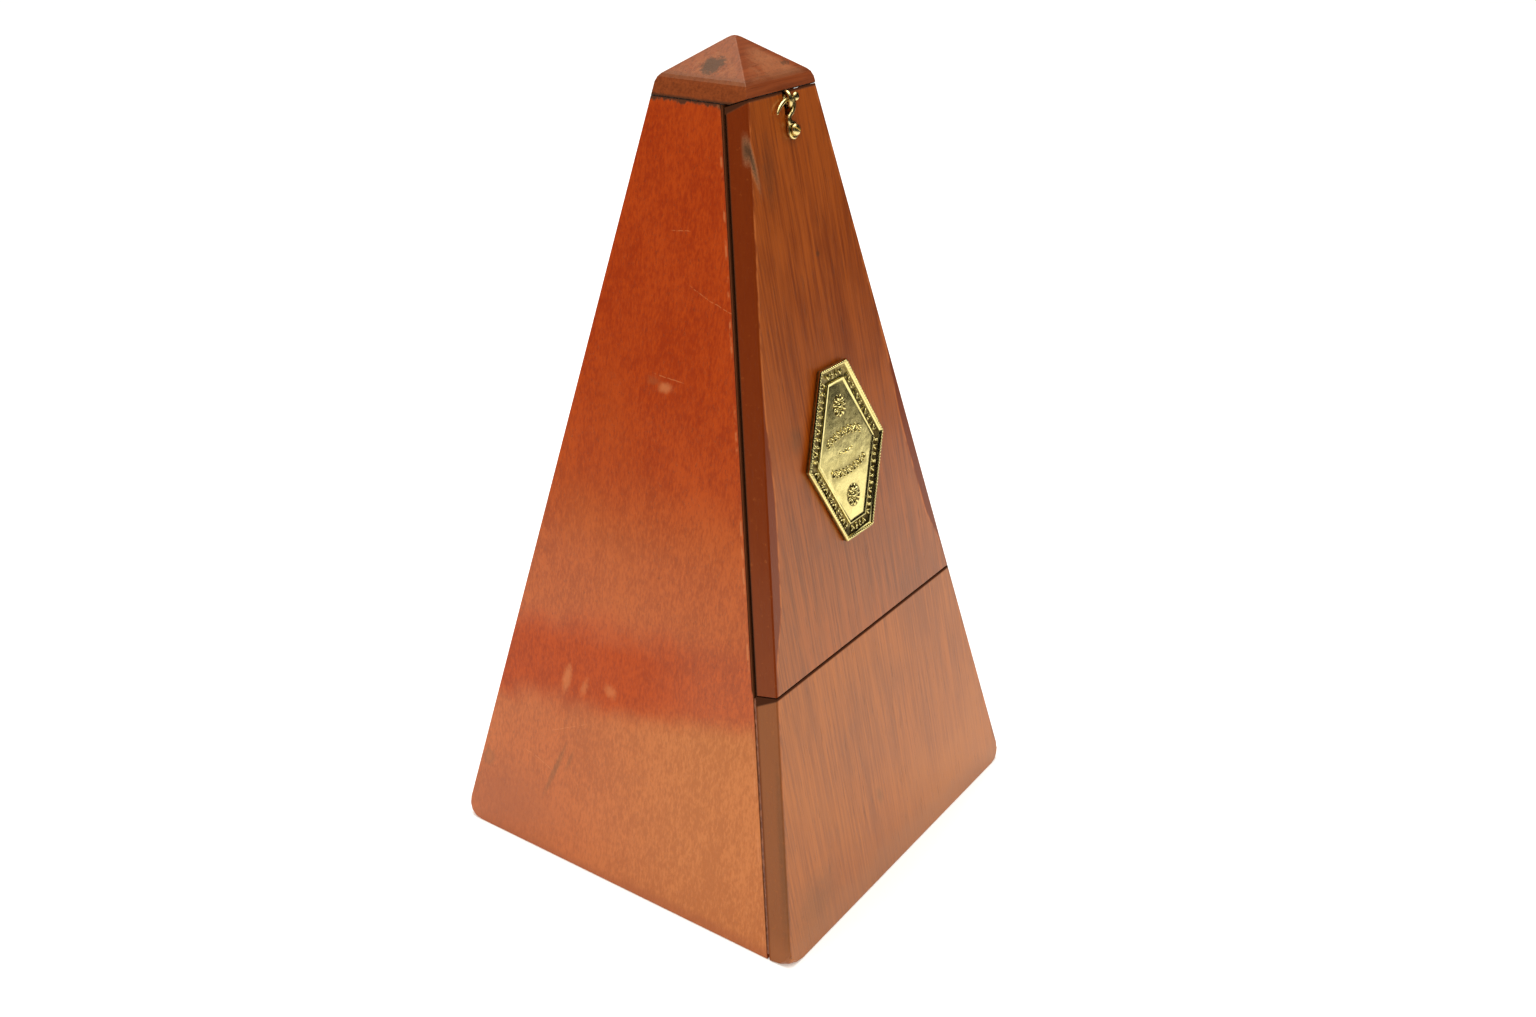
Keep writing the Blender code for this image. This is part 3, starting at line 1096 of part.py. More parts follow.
def build_second_wheel():
    middle = second_centre()
    end = PLATE_OUTSIDE + SEAT_GAP
    body = cylinder_mesh(STAFF_RADIUS, -end, end, SMALL_STEPS)
    staff = add_object("second_arbor", body, STEEL, second_axis)
    phase = angle_between(middle, (BARREL_Y, BARREL_Z)) + math.pi / PINION_LEAVES
    leaves = outline_mesh([pinion_outline(GREAT_MODULE, phase)], SECOND_PINION_LEFT, SECOND_PINION_RIGHT)
    combine(staff, add_object("second_pinion_tool", leaves, None, second_axis), "UNION")
    bore = circle(hole_radius(STAFF_RADIUS, ROUND_STEPS, DRIVE_CLEARANCE))
    outline = wheel_outline(SECOND_MODULE, angle_between(middle, (ESCAPE_Y, ESCAPE_Z)))
    mesh = outline_mesh([outline, bore], SECOND_WHEEL_X, SECOND_WHEEL_X + SECOND_WHEEL_THICKNESS)
    add_object("second_wheel", mesh, BRASS, second_axis)


def build_crown_wheel():
    left = -PLATE_OUTSIDE - SEAT_GAP
    right = CROWN_LEFT + CROWN_WEB + SEAT_GAP
    body = cylinder_mesh(STAFF_RADIUS, left, right, SMALL_STEPS)
    staff = add_object("escape_arbor", body, STEEL, escape_axis)
    phase = angle_between((ESCAPE_Y, ESCAPE_Z), second_centre()) + math.pi / PINION_LEAVES
    leaves = outline_mesh([pinion_outline(SECOND_MODULE, phase)], ESCAPE_PINION_LEFT, ESCAPE_PINION_RIGHT)
    combine(staff, add_object("escape_pinion_tool", leaves, None, escape_axis), "UNION")
    steps = 2 * CROWN_TEETH
    bore = hole_radius(STAFF_RADIUS, steps, DRIVE_CLEARANCE)
    inside = CROWN_RADIUS - CROWN_RIM
    web = CROWN_LEFT + CROWN_WEB
    profile = ((inside, CROWN_RIGHT), (CROWN_RADIUS, CROWN_RIGHT), (CROWN_RADIUS, CROWN_LEFT),
               (bore, CROWN_LEFT), (bore, web), (inside, web))
    crown = turned("crown_wheel", profile, BRASS, escape_axis, (0.0, 0.0, 0.0), steps)
    combine(crown, add_object("crown_tooth_cutter", mesh_from(crown_notches()), None, escape_axis))


def crown_notches():
    """One three-sided bar for each gap between the crown wheel's teeth."""
    bm = bmesh.new()
    for tooth in range(CROWN_TEETH):
        notch = bmesh.ops.create_cone(bm, cap_ends=True, segments=3, radius1=CROWN_TOOTH_DEPTH,
                                      radius2=CROWN_TOOTH_DEPTH, depth=4 * CROWN_RIM)["verts"]
        turn = 2 * math.pi * (tooth + 0.5) / CROWN_TEETH
        for angle, axis in ((-math.pi / 2, "Z"), (math.pi / 2, "X")):
            bmesh.ops.rotate(bm, matrix=Matrix.Rotation(angle, 3, axis), verts=notch)
        low = min(vert.co.z for vert in notch)
        place = (0.0, CROWN_RADIUS - CROWN_RIM / 2, CROWN_RIGHT - CROWN_TOOTH_DEPTH - low)
        bmesh.ops.translate(bm, vec=place, verts=notch)
        bmesh.ops.rotate(bm, matrix=Matrix.Rotation(turn, 3, "Z"), verts=notch)
    return bm


def build_cock():
    """The bracket that holds the crown wheel's inner pivot, on a post from the left plate."""
    away = angle_between(second_centre(), (ESCAPE_Y, ESCAPE_Z))
    post = (COCK_REACH * math.cos(away), COCK_REACH * math.sin(away))
    side = away + math.pi / 2
    boss = COCK_BOSS_RADIUS
    loop = arc(boss, side, side + math.pi, 6) + arc(boss, side + math.pi, side + 2 * math.pi, 6, post)
    bore = circle(hole_radius(STAFF_RADIUS))
    place = (ESCAPE_Y, ESCAPE_Z, 0.0)
    arm = outline_mesh([loop, bore], COCK_LEFT, COCK_LEFT + COCK_THICKNESS)
    cock = add_object("escape_cock", arm, BRASS, movement_frame, place)
    leg_end = COCK_LEFT + COCK_THICKNESS / 2
    leg = cylinder_mesh(COCK_POST_RADIUS, SEAT_GAP - PLATE_INSIDE, leg_end, SMALL_STEPS, post)
    combine(cock, add_object("cock_post_tool", leg, None, movement_frame, place), "UNION")


def build_bridges():
    """Front and rear bearings of the pallet arbor."""
    end = PLATE_INSIDE - SEAT_GAP
    tall = BRIDGE_HALF_HEIGHT
    bore = circle(hole_radius(VERGE_RADIUS), ROUND_STEPS, (0.0, PIVOT_HEIGHT))
    low = PIVOT_HEIGHT - tall
    high = PIVOT_HEIGHT + tall
    shelf = PIVOT_HEIGHT + tall / 2
    top = shelf + 2 * tall
    front = [(-end, low), (end, low), (end, high), (-end, high)]
    rear = [(-tall, low), (tall, low), (tall, shelf), (end, shelf), (end, top), (-tall, top)]
    for name, outline, depth in (("front_bridge", front, FRONT_BRIDGE_DEPTH),
                                 ("rear_bridge", rear, REAR_BRIDGE_DEPTH)):
        mesh = outline_mesh([outline, bore], -depth - BRIDGE_THICKNESS, -depth)
        add_object(name, mesh, BRASS, front_frame)


# ---------------------------------------------------------------- key
def build_key():
    """A brass winding key: a tube with a square socket, a collar and two wings."""
    start = arbor_end() - KEY_ENGAGEMENT
    collar = half_width(BARREL_Z) + KEY_STANDOFF
    neck = collar + KEY_COLLAR_HEIGHT
    rim = collar + 0.4 * KEY_COLLAR_HEIGHT
    profile = ((0.0, neck), (0.8 * KEY_TUBE_RADIUS, neck), (KEY_COLLAR_RADIUS, rim),
               (KEY_COLLAR_RADIUS, collar), (KEY_TUBE_RADIUS, collar), (KEY_TUBE_RADIUS, start), (0.0, start))
    key = turned("winding_key", profile, BRASS, key_axis)
    half = KEY_WING_THICKNESS / 2
    wings = outline_mesh([key_wings(collar + KEY_COLLAR_HEIGHT / 2)], -half, half)
    for vert in wings.vertices:
        across, along, thick = vert.co
        vert.co = (thick, across, along)
    combine(key, add_object("key_wing_tool", wings, None, key_axis), "UNION")
    socket_end = arbor_end() + SEAT_GAP
    length = KEY_ENGAGEMENT + SEAT_GAP + KEY_TUBE_RADIUS
    socket = box_mesh((KEY_SOCKET, KEY_SOCKET, length), (0.0, 0.0, socket_end - length / 2))
    combine(key, add_object("key_socket_cutter", socket, None, key_axis))


def key_wings(low):
    """Outline of the key's two round wings, with a dip between them at the outer end."""
    high = low + KEY_WING_LENGTH
    rise = 0.42 * KEY_WING_LENGTH
    loop = []
    for side, dip in ((1, high - 0.18 * KEY_WING_LENGTH), (-1, low)):
        centre = (side * (KEY_WING_HALF_WIDTH - KEY_WING_LOBE), high - rise)
        start = -side * math.pi / 2
        loop += [(centre[0] + KEY_WING_LOBE * math.cos(start + math.pi * step / 8),
                  centre[1] + rise * math.sin(start + math.pi * step / 8)) for step in range(9)]
        loop.append((0.0, dip))
    return loop


def build_escutcheon():
    """A brass ring round the key hole, flat on the leaning side."""
    reach = half_width(BARREL_Z, -SEAT_GAP)
    lean = (0.0, math.pi / 2 - SIDE_LEAN, 0.0)
    frame = add_frame("escutcheon_frame", None, (reach, BARREL_Y, BARREL_Z), lean)
    high = ESCUTCHEON_THICKNESS
    profile = ((KEY_HOLE_RADIUS, high), (ESCUTCHEON_RADIUS - high, high), (ESCUTCHEON_RADIUS, 0.0),
               (KEY_HOLE_RADIUS, 0.0))
    turned("key_escutcheon", profile, BRASS, frame, (0.0, 0.0, 0.0), FINE_STEPS)


# ---------------------------------------------------------------- build
clear_scene()
parts = make_collection("metronome")
cutters = make_collection("metronome_cutters")

front_frame = add_frame("front_frame", None, (0.0, -BASE_DEPTH / 2, 0.0), (math.pi / 2 - LEAN, 0.0, 0.0))
door_axis = add_frame("door_axis", front_frame, (0.0, DOOR_SPLIT + DOOR_FOOT_GAP, 0.0))
hook_axis = add_frame("hook_axis", front_frame, (LATCH_X, LATCH_PIVOT, 0.0))
pendulum_axis = add_frame("pendulum_axis", front_frame, (0.0, PIVOT_HEIGHT, 0.0))
weight_axis = add_frame("weight_axis", front_frame, (0.0, WEIGHT_HEIGHT, 0.0))
movement_frame = add_frame("movement_frame", None, (0.0, 0.0, 0.0), (math.pi / 2, 0.0, math.pi / 2))
barrel_axis = add_frame("barrel_axis", movement_frame, (BARREL_Y, BARREL_Z, 0.0))
winding_axis = add_frame("winding_axis", movement_frame, (BARREL_Y, BARREL_Z, 0.0))
key_axis = add_frame("key_axis", movement_frame, (BARREL_Y, BARREL_Z, 0.0))
second_axis = add_frame("second_axis", movement_frame, (*second_centre(), 0.0))
escape_axis = add_frame("escape_axis", movement_frame, (ESCAPE_Y, ESCAPE_Z, 0.0))
click_axis = add_frame("click_axis", movement_frame, (*click_pivot()[0], 0.0))
bpy.context.view_layer.update()

build_sides()
build_back()
build_lower_front()
build_base()
build_glue_blocks()
build_cap()
build_door()
build_tongues()
build_nameplate()
build_latch_hook()
build_latch_screw()
build_latch_eye()
build_scale_board()
build_scale_plate()
build_catch()
build_pendulum_rod()
build_pendulum_weights()
build_sliding_weight()
build_verge()
build_plates()
build_pillars()
build_barrel()
build_winding_arbor()
build_ratchet()
build_click()
build_second_wheel()
build_crown_wheel()
build_cock()
build_bridges()
build_key()
build_escutcheon()
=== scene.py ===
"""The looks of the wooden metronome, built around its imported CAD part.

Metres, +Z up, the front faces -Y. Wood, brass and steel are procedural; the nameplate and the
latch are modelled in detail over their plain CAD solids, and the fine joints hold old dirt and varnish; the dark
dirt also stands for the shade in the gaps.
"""
import json
import math

import bmesh
import bpy
import numpy as np
from mathutils import Matrix, Vector, noise


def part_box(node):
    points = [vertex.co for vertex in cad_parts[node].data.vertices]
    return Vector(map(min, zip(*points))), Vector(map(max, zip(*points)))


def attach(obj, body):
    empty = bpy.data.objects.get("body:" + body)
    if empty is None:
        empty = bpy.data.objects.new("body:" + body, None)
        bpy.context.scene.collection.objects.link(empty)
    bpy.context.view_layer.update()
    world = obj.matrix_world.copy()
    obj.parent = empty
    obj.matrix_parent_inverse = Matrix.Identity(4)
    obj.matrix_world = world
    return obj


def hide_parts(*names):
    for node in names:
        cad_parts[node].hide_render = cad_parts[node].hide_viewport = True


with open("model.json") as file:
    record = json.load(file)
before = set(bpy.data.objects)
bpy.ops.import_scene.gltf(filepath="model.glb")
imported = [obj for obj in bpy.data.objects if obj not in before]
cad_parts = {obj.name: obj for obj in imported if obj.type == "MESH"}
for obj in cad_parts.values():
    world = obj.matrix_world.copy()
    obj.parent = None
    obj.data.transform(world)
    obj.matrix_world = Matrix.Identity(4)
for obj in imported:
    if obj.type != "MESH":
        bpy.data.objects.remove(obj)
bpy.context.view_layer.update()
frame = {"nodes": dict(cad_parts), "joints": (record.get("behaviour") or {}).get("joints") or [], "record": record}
nodes = frame["nodes"]

# ---------------------------------------------------------------- places read from the frame
LEFT_LOW, LEFT_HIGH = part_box("left_side_panel")
BACK_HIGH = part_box("back_panel")[1]
FRONT_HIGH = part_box("lower_front_panel")[1]
SIDE_TOP = LEFT_HIGH.z
BASE_HALF_WIDTH = FRONT_HIGH.x
BASE_HALF_DEPTH = BACK_HIGH.y
CAP_LOW, CAP_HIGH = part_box("top_cap")
EAVE_TOP = CAP_LOW.z + 0.0045                   # top of the cap's upright band
TAPER_X = (BASE_HALF_WIDTH - CAP_HIGH.x) / CAP_LOW.z
JOINTS = {joint["name"]: joint for joint in frame["joints"]}
SWING = Vector(JOINTS["pendulum_swing"]["axis"])
OUT = SWING.normalized()                        # square out of the front face
UP = Vector((0.0, OUT.z, -OUT.y))               # up the front face
LEAN = math.atan2(OUT.z, -OUT.y)
TAPER_Y = math.tan(LEAN)
SIDE_LEAN = math.atan(TAPER_X)
FACE_FOOT = Vector((0.0, -BASE_HALF_DEPTH, 0.0))
SEAM = BASE_HALF_DEPTH + LEFT_LOW.y             # front edges of the sides, behind the front face


def on_face(across, up, out=0.0):
    """World place of a point across, up and out from the front face."""
    return FACE_FOOT + Vector((across, 0.0, 0.0)) + UP * up + OUT * out


FACE_MATRIX = Matrix((
    (1.0, 0.0, 0.0, 0.0),
    (0.0, UP.y, OUT.y, FACE_FOOT.y),
    (0.0, UP.z, OUT.z, FACE_FOOT.z),
    (0.0, 0.0, 0.0, 1.0)))


# ---------------------------------------------------------------- node helpers
class Graph:
    """Short names for building a material's nodes."""

    def __init__(self, name):
        self.material = bpy.data.materials.new(name)
        self.material.use_nodes = True
        self.tree = self.material.node_tree
        self.shader = self.tree.nodes["Principled BSDF"]
        self.coords = self.node("ShaderNodeTexCoord").outputs["Object"]

    def node(self, kind, **settings):
        item = self.tree.nodes.new(kind)
        for key, value in settings.items():
            setattr(item, key, value)
        return item

    def feed(self, socket, value):
        if isinstance(value, bpy.types.NodeSocket):
            self.tree.links.new(value, socket)
        elif value is not None:
            socket.default_value = value

    def math(self, operation, first, second=None):
        item = self.node("ShaderNodeMath", operation=operation)
        for socket, value in zip(item.inputs, (first, second)):
            self.feed(socket, value)
        return item.outputs[0]

    def add(self, first, second):
        return self.math("ADD", first, second)

    def sub(self, first, second):
        return self.math("SUBTRACT", first, second)

    def mul(self, first, second):
        return self.math("MULTIPLY", first, second)

    def step(self, value, low, high, start=0.0, end=1.0):
        """A smooth step of the value between low and high."""
        item = self.node("ShaderNodeMapRange", interpolation_type="SMOOTHSTEP")
        for name, entry in (("Value", value), ("From Min", low), ("From Max", high),
                            ("To Min", start), ("To Max", end)):
            self.feed(item.inputs[name], entry)
        return item.outputs[0]

    def mix(self, share, first, second, blend="MIX"):
        item = self.node("ShaderNodeMix", data_type="RGBA", blend_type=blend)
        self.feed(item.inputs["Factor"], share)
        self.feed(item.inputs[6], first)
        self.feed(item.inputs[7], second)
        return item.outputs[2]

    def split(self, vector):
        """The three coordinates of a vector."""
        item = self.node("ShaderNodeSeparateXYZ")
        self.feed(item.inputs[0], vector)
        return item.outputs

    def place(self, rotation=(0, 0, 0), scale=(1, 1, 1), vector=None):
        """The object's coordinates, or the given ones, turned and stretched."""
        item = self.node("ShaderNodeMapping", vector_type="POINT")
        self.feed(item.inputs["Vector"], self.coords if vector is None else vector)
        item.inputs["Rotation"].default_value = rotation
        item.inputs["Scale"].default_value = scale
        return item.outputs[0]

    def noise(self, vector, scale, detail=3.0, rough=0.55, twist=0.0):
        item = self.node("ShaderNodeTexNoise")
        self.feed(item.inputs["Vector"], vector)
        for name, value in (("Scale", scale), ("Detail", detail), ("Roughness", rough),
                            ("Distortion", twist)):
            self.feed(item.inputs[name], value)
        return item.outputs["Fac"]

    def bump(self, height, distance, strength=1.0, normal=None):
        item = self.node("ShaderNodeBump")
        self.feed(item.inputs["Height"], height)
        item.inputs["Distance"].default_value = distance
        item.inputs["Strength"].default_value = strength
        if normal is not None:
            self.feed(item.inputs["Normal"], normal)
        return item.outputs[0]

    def finish(self, **inputs):
        for name, value in inputs.items():
            self.feed(self.shader.inputs[name.replace("_", " ")], value)
        return self.material


def rgb(red, green, blue):
    return (red, green, blue, 1.0)


# ---------------------------------------------------------------- wood
def case_distances(g):
    """A point's coordinates and its distances in from the case's side planes and front plane."""
    x, y, z = g.split(g.coords)
    side = g.sub(g.sub(BASE_HALF_WIDTH, g.mul(z, TAPER_X)), g.math("ABSOLUTE", x))
    face = g.add(g.sub(BASE_HALF_DEPTH, g.mul(z, TAPER_Y)), y)
    return x, y, z, side, face


def wood(name, deep, pale, worn, turn, roughness=0.30, coat=0.18, marks=(), blotch=0.5,
         tint=rgb(1.0, 0.70, 0.28), spec=0.85):
    """Varnished fruitwood: fine straight grain up the board, short pores, soft stains and wear.

    turn brings the grain on to the local Z axis. marks are functions that each paint one thing: they
    read and change the state, which holds the colour, the roughness, the loss of shine, the bump's
    height and the point's coordinates. tint is the colour of the varnish's own shine.
    """
    g = Graph(name)
    along = g.place(rotation=turn)
    fine = g.noise(g.place(scale=(1500, 1500, 45), vector=along), 1.0, 4.0, 0.6, 0.25)
    streak = g.noise(g.place(scale=(520, 520, 12), vector=along), 1.0, 4.0, 0.6, 0.4)
    band = g.noise(g.place(scale=(120, 120, 9), vector=along), 1.0, 3.0, 0.55, 0.6)
    stain = g.noise(g.coords, 26.0, 5.0, 0.6, 0.7)
    cloud = g.noise(g.coords, 9.0, 3.0, 0.5, 0.4)
    pores = g.step(g.noise(g.place(scale=(2400, 2400, 130), vector=along), 1.0, 2.0, 0.6, 0.0), 0.60, 0.70)
    tone = g.add(g.mul(fine, 0.44), g.add(g.mul(streak, 0.24), g.add(g.mul(band, 0.10), g.mul(stain, 0.22))))
    colour = g.mix(g.step(tone, 0.40, 0.60), deep, pale)
    colour = g.mix(g.mul(g.step(cloud, 0.46, 0.70), blotch), colour, worn)
    dark = g.mix(1.0, colour, rgb(0.45, 0.36, 0.32), "MULTIPLY")
    colour = g.mix(g.mul(pores, 0.55), colour, dark)
    rough = g.add(roughness - 0.05, g.add(g.mul(stain, 0.10), g.mul(pores, 0.08)))
    x, y, z, side, face = case_distances(g)
    up = g.add(g.mul(z, UP.z), g.mul(g.add(y, BASE_HALF_DEPTH), UP.y))
    height = g.sub(g.mul(fine, 0.4), g.mul(pores, 0.8))
    state = {"colour": colour, "rough": rough, "matte": None, "height": height, "x": x, "y": y, "z": z,
             "side": side, "face": face, "up": up, "stain": stain, "tone": tone}
    for mark in marks:
        mark(g, state)
    sheen = {"Coat_Weight": coat, "Specular_IOR_Level": spec}
    if state["matte"] is not None:
        left = g.sub(1.0, state["matte"])
        sheen = {socket: g.mul(left, value) for socket, value in sheen.items()}
    normal = g.bump(state["height"], 0.00005, 0.45)
    ripple = g.noise(g.place(scale=(60, 60, 14), vector=along), 1.0, 2.0, 0.5)
    normal = g.bump(ripple, 0.0005, 0.2, normal)
    return g.finish(Base_Color=state["colour"], Roughness=state["rough"], Normal=normal,
                    Coat_Roughness=0.13, Coat_IOR=1.5, Specular_Tint=tint, **sheen)


def blend_in(g, state, mask, colour, rough=None, matte=0.0):
    """Paints a colour through a mask, and can pull the roughness and take away shine with it."""
    state["colour"] = g.mix(mask, state["colour"], colour)
    if matte:
        dull = g.mul(mask, matte)
        state["matte"] = dull if state["matte"] is None else g.math("MAXIMUM", state["matte"], dull)
    if rough is not None:
        state["rough"] = g.add(g.mul(state["rough"], g.sub(1.0, mask)), g.mul(rough, mask))


def spot(axis, across, height, half_across, half_height, colour, strength=1.0, turn=0.0, soft=0.5,
         rough=None, sink=0.0, crumb=700.0):
    """An oval stain or dent on a face. axis is the coordinate that runs across that face.

    soft is how ragged and blurred the rim is, sink how deep the dent, and crumb how fine its rim.
    """
    def paint(g, state):
        u = g.sub(state[axis], across)
        v = g.sub(state["z"], height)
        cos, sin = math.cos(turn), math.sin(turn)
        first = g.math("DIVIDE", g.add(g.mul(u, cos), g.mul(v, sin)), half_across)
        second = g.math("DIVIDE", g.sub(g.mul(v, cos), g.mul(u, sin)), half_height)
        reach = g.math("SQRT", g.add(g.mul(first, first), g.mul(second, second)))
        rag = g.mul(g.sub(g.noise(g.coords, crumb, 4.0, 0.65), 0.5), 1.6)
        mask = g.step(g.add(reach, g.mul(rag, soft)), 1.0 + soft * 0.5, 1.0 - soft, 0.0, strength)
        if axis == "x":
            mask = g.mul(mask, g.step(state["face"], 0.0026, 0.0010))
        blend_in(g, state, mask, colour, rough)
        if sink:
            state["height"] = g.sub(state["height"], g.mul(mask, sink))
    return paint


def scratch(across, height, length, turn, strength, bow=0.0):
    """A thin slightly bowed scratch on a side panel."""
    def paint(g, state):
        u = g.sub(state["y"], across)
        v = g.sub(state["z"], height)
        cos, sin = math.cos(turn), math.sin(turn)
        run = g.add(g.mul(u, cos), g.mul(v, sin))
        off = g.sub(g.sub(g.mul(v, cos), g.mul(u, sin)), g.mul(g.mul(run, run), bow))
        wander = g.mul(g.sub(g.noise(g.coords, 300.0, 2.0), 0.5), 0.0006)
        near = g.step(g.math("ABSOLUTE", g.add(off, wander)), SCRATCH_WIDTH, SCRATCH_WIDTH * 0.3)
        ends = g.step(g.math("ABSOLUTE", run), length / 2, length * 0.3)
        broken = g.step(g.noise(g.coords, 1100.0, 2.0), 0.40, 0.50)
        blend_in(g, state, g.mul(g.mul(near, ends), g.mul(broken, strength)), SCUFF)
    return paint


def door_edge(colour, ridge, joint, wrap=0.0):
    """The narrow side edges of the front members: darker finish, and a rubbed line along the arris that is partly
    a painted highlight.

    joint is the colour beside the side panel; on the door it is painted shade in the gap. wrap is how far the dark
    finish comes round on to the front, part of the way up.
    """
    def paint(g, state):
        uneven = g.mul(g.sub(g.noise(g.place(scale=(90, 90, 60)), 1.0, 3.0), 0.5), 0.0010)
        reach = 0.0008
        if wrap:
            swell = g.mul(g.step(state["up"], 0.078, 0.095), g.step(state["up"], 0.152, 0.118))
            reach = g.add(0.0008, g.mul(swell, wrap))
        edge = g.sub(g.add(state["side"], uneven), reach)
        blend_in(g, state, g.mul(g.step(edge, 0.0006, -0.0002), 0.92), colour, 0.30, 0.6)
        # rubbed line and flecks along the arris, partly a painted highlight
        rub_and_glint = g.step(g.noise(g.place(scale=(500, 500, 90)), 1.0, 3.0), 0.40, 0.60)
        line = g.mul(g.step(g.math("ABSOLUTE", edge), 0.0006, 0.0001), g.step(state["face"], 0.0012, 0.0004))
        blend_in(g, state, g.mul(line, g.add(0.15, g.mul(rub_and_glint, 0.6))), ridge, 0.35)
        spots = g.step(g.noise(g.coords, 620.0, 4.0, 0.7), 0.60, 0.70)
        spots = g.mul(spots, g.step(state["side"], 0.0006, 0.0001))
        blend_in(g, state, g.mul(spots, 0.18), ridge, 0.4)
        # the edge deep in beside the side panel: painted shade in the door's gap, a dark joint on the lower panel
        blend_in(g, state, g.step(state["face"], SEAM - 0.0016, SEAM - 0.0009), joint, 0.9, 1.0)
    return paint


def seam_shade(g, state):
    """Painted shade on a side panel's front edge, dark beside the door, and a thin dark joint line beside the
    lower panel.
    """
    # painted shade: the edge inside the door's gap is painted near black with its shine taken away
    beside_door = g.step(state["z"], LOWER_TOP - 0.0015, LOWER_TOP)
    dark = g.step(state["face"], SEAM + 0.0007, SEAM + 0.0002)
    blend_in(g, state, g.mul(dark, beside_door), SHADOW, 0.9, 1.0)
    thin = g.step(state["face"], SEAM + 0.0003, SEAM)
    blend_in(g, state, thin, rgb(0.15, 0.045, 0.016), 0.7, 0.9)
    worn = g.mul(g.step(g.math("ABSOLUTE", g.sub(state["face"], SEAM + 0.0011)), 0.0005, 0.0001),
                 g.step(g.noise(g.coords, 160.0, 3.0, 0.6), 0.52, 0.62))
    blend_in(g, state, g.mul(worn, 0.55), SCUFF, 0.4)


def painted_glare_bands(g, state):
    """Painted reflection: a pale cloudy glare painted into the colour low on the panel and in a wide patch higher
    up.

    Between the two, a band of deep colour with less shine is painted where no glare falls, strongest towards the
    back.
    """
    wander = g.mul(g.sub(g.noise(g.coords, 34.0, 4.0, 0.6, 0.5), 0.5), 0.014)
    slant = g.mul(g.add(state["y"], 0.012), 0.17)
    height = g.add(g.add(state["z"], slant), wander)
    glare_grain = g.mix(g.step(state["tone"], 0.42, 0.58), *GLARE_COLOURS)
    no_glare_grain = g.mix(g.step(state["tone"], 0.40, 0.60), *NO_GLARE_COLOURS)
    low = g.step(height, 0.060, 0.050)
    high = g.mul(g.step(height, 0.072, 0.084), g.step(height, 0.124, 0.098))
    front = g.step(state["y"], 0.030, -0.030)
    pale = g.math("MAXIMUM", g.mul(low, g.add(0.30, g.mul(front, 0.45))), g.mul(high, 0.22))
    # painted reflection: the pale glare colour through the two glare bands
    blend_in(g, state, pale, glare_grain)
    # painted: the dark band between the glares, where nothing bright is reflected
    deep = g.mul(g.step(height, 0.048, 0.058), g.step(height, 0.080, 0.068))
    deep = g.mul(deep, g.step(state["y"], -0.030, 0.002))
    blend_in(g, state, g.mul(deep, 0.75), no_glare_grain, None, 0.75)
    # painted: higher up the colour is painted deeper, with its shine taken away, where no glare falls
    upper = g.step(state["z"], 0.105, 0.150, 0.0, 0.55)
    blend_in(g, state, g.mul(upper, 0.35), rgb(0.36, 0.034, 0.0008), None, 1.3)


def top_shade(limit):
    """Painted shade on a front board's top edge, under the cap: near black with its shine taken away."""
    def paint(g, state):
        edge = g.add(state["up"], g.mul(state["face"], 0.30))
        blend_in(g, state, g.step(edge, limit - 0.0009, limit - 0.0003), rgb(0.055, 0.018, 0.008), 0.9, 1.0)
    return paint


def grime(high, depth, strength=0.9):
    """A crusty dark line along a board's top edge, under the cap."""
    def paint(g, state):
        ragged = g.mul(g.sub(g.noise(g.place(scale=(1.0, 1.0, 0.35)), 420.0, 4.0, 0.7), 0.5), 0.0034)
        mask = g.step(g.add(g.sub(high, state["z"]), ragged), depth, depth * 0.25, 0.0, strength)
        blend_in(g, state, mask, GRIME, 0.7, 0.9)
        state["height"] = g.sub(state["height"], g.mul(mask, 2.0))
    return paint


def foot_shade(colour, height, strength):
    """Painted shade near the floor: the finish low on the board is painted darker and duller."""
    def paint(g, state):
        uneven = g.mul(g.sub(state["stain"], 0.5), height * 1.4)
        blend_in(g, state, g.step(g.add(state["z"], uneven), height, height * 0.2, 0.0, strength), colour)
    return paint


# ---------------------------------------------------------------- metal
def metal(name, colour, dull, roughness, tarnish=60.0):
    """Handled metal: uneven tarnish and fine scratches. tarnish is how fine its patches are."""
    g = Graph(name)
    patch = g.noise(g.coords, tarnish, 5.0, 0.65, 0.6)
    speck = g.noise(g.coords, 900.0, 3.0, 0.6)
    scratches = g.noise(g.place(scale=(900, 900, 900)), 1.0, 3.0, 0.6, 0.3)
    share = g.mul(g.step(g.add(g.mul(patch, 0.75), g.mul(speck, 0.25)), 0.42, 0.66), 0.5)
    tint = g.mix(share, colour, dull)
    rough = g.add(roughness, g.add(g.mul(share, 0.25), g.mul(scratches, 0.08)))
    return g.finish(Base_Color=tint, Metallic=1.0, Roughness=rough, Normal=g.bump(scratches, 0.00004, 0.35))


def spread_on_face(name):
    """A CAD node's extents across, up and out from the front face."""
    inverse = FACE_MATRIX.inverted()
    places = np.array([inverse @ vert.co for vert in nodes[name].data.vertices])
    return places.min(0), places.max(0)


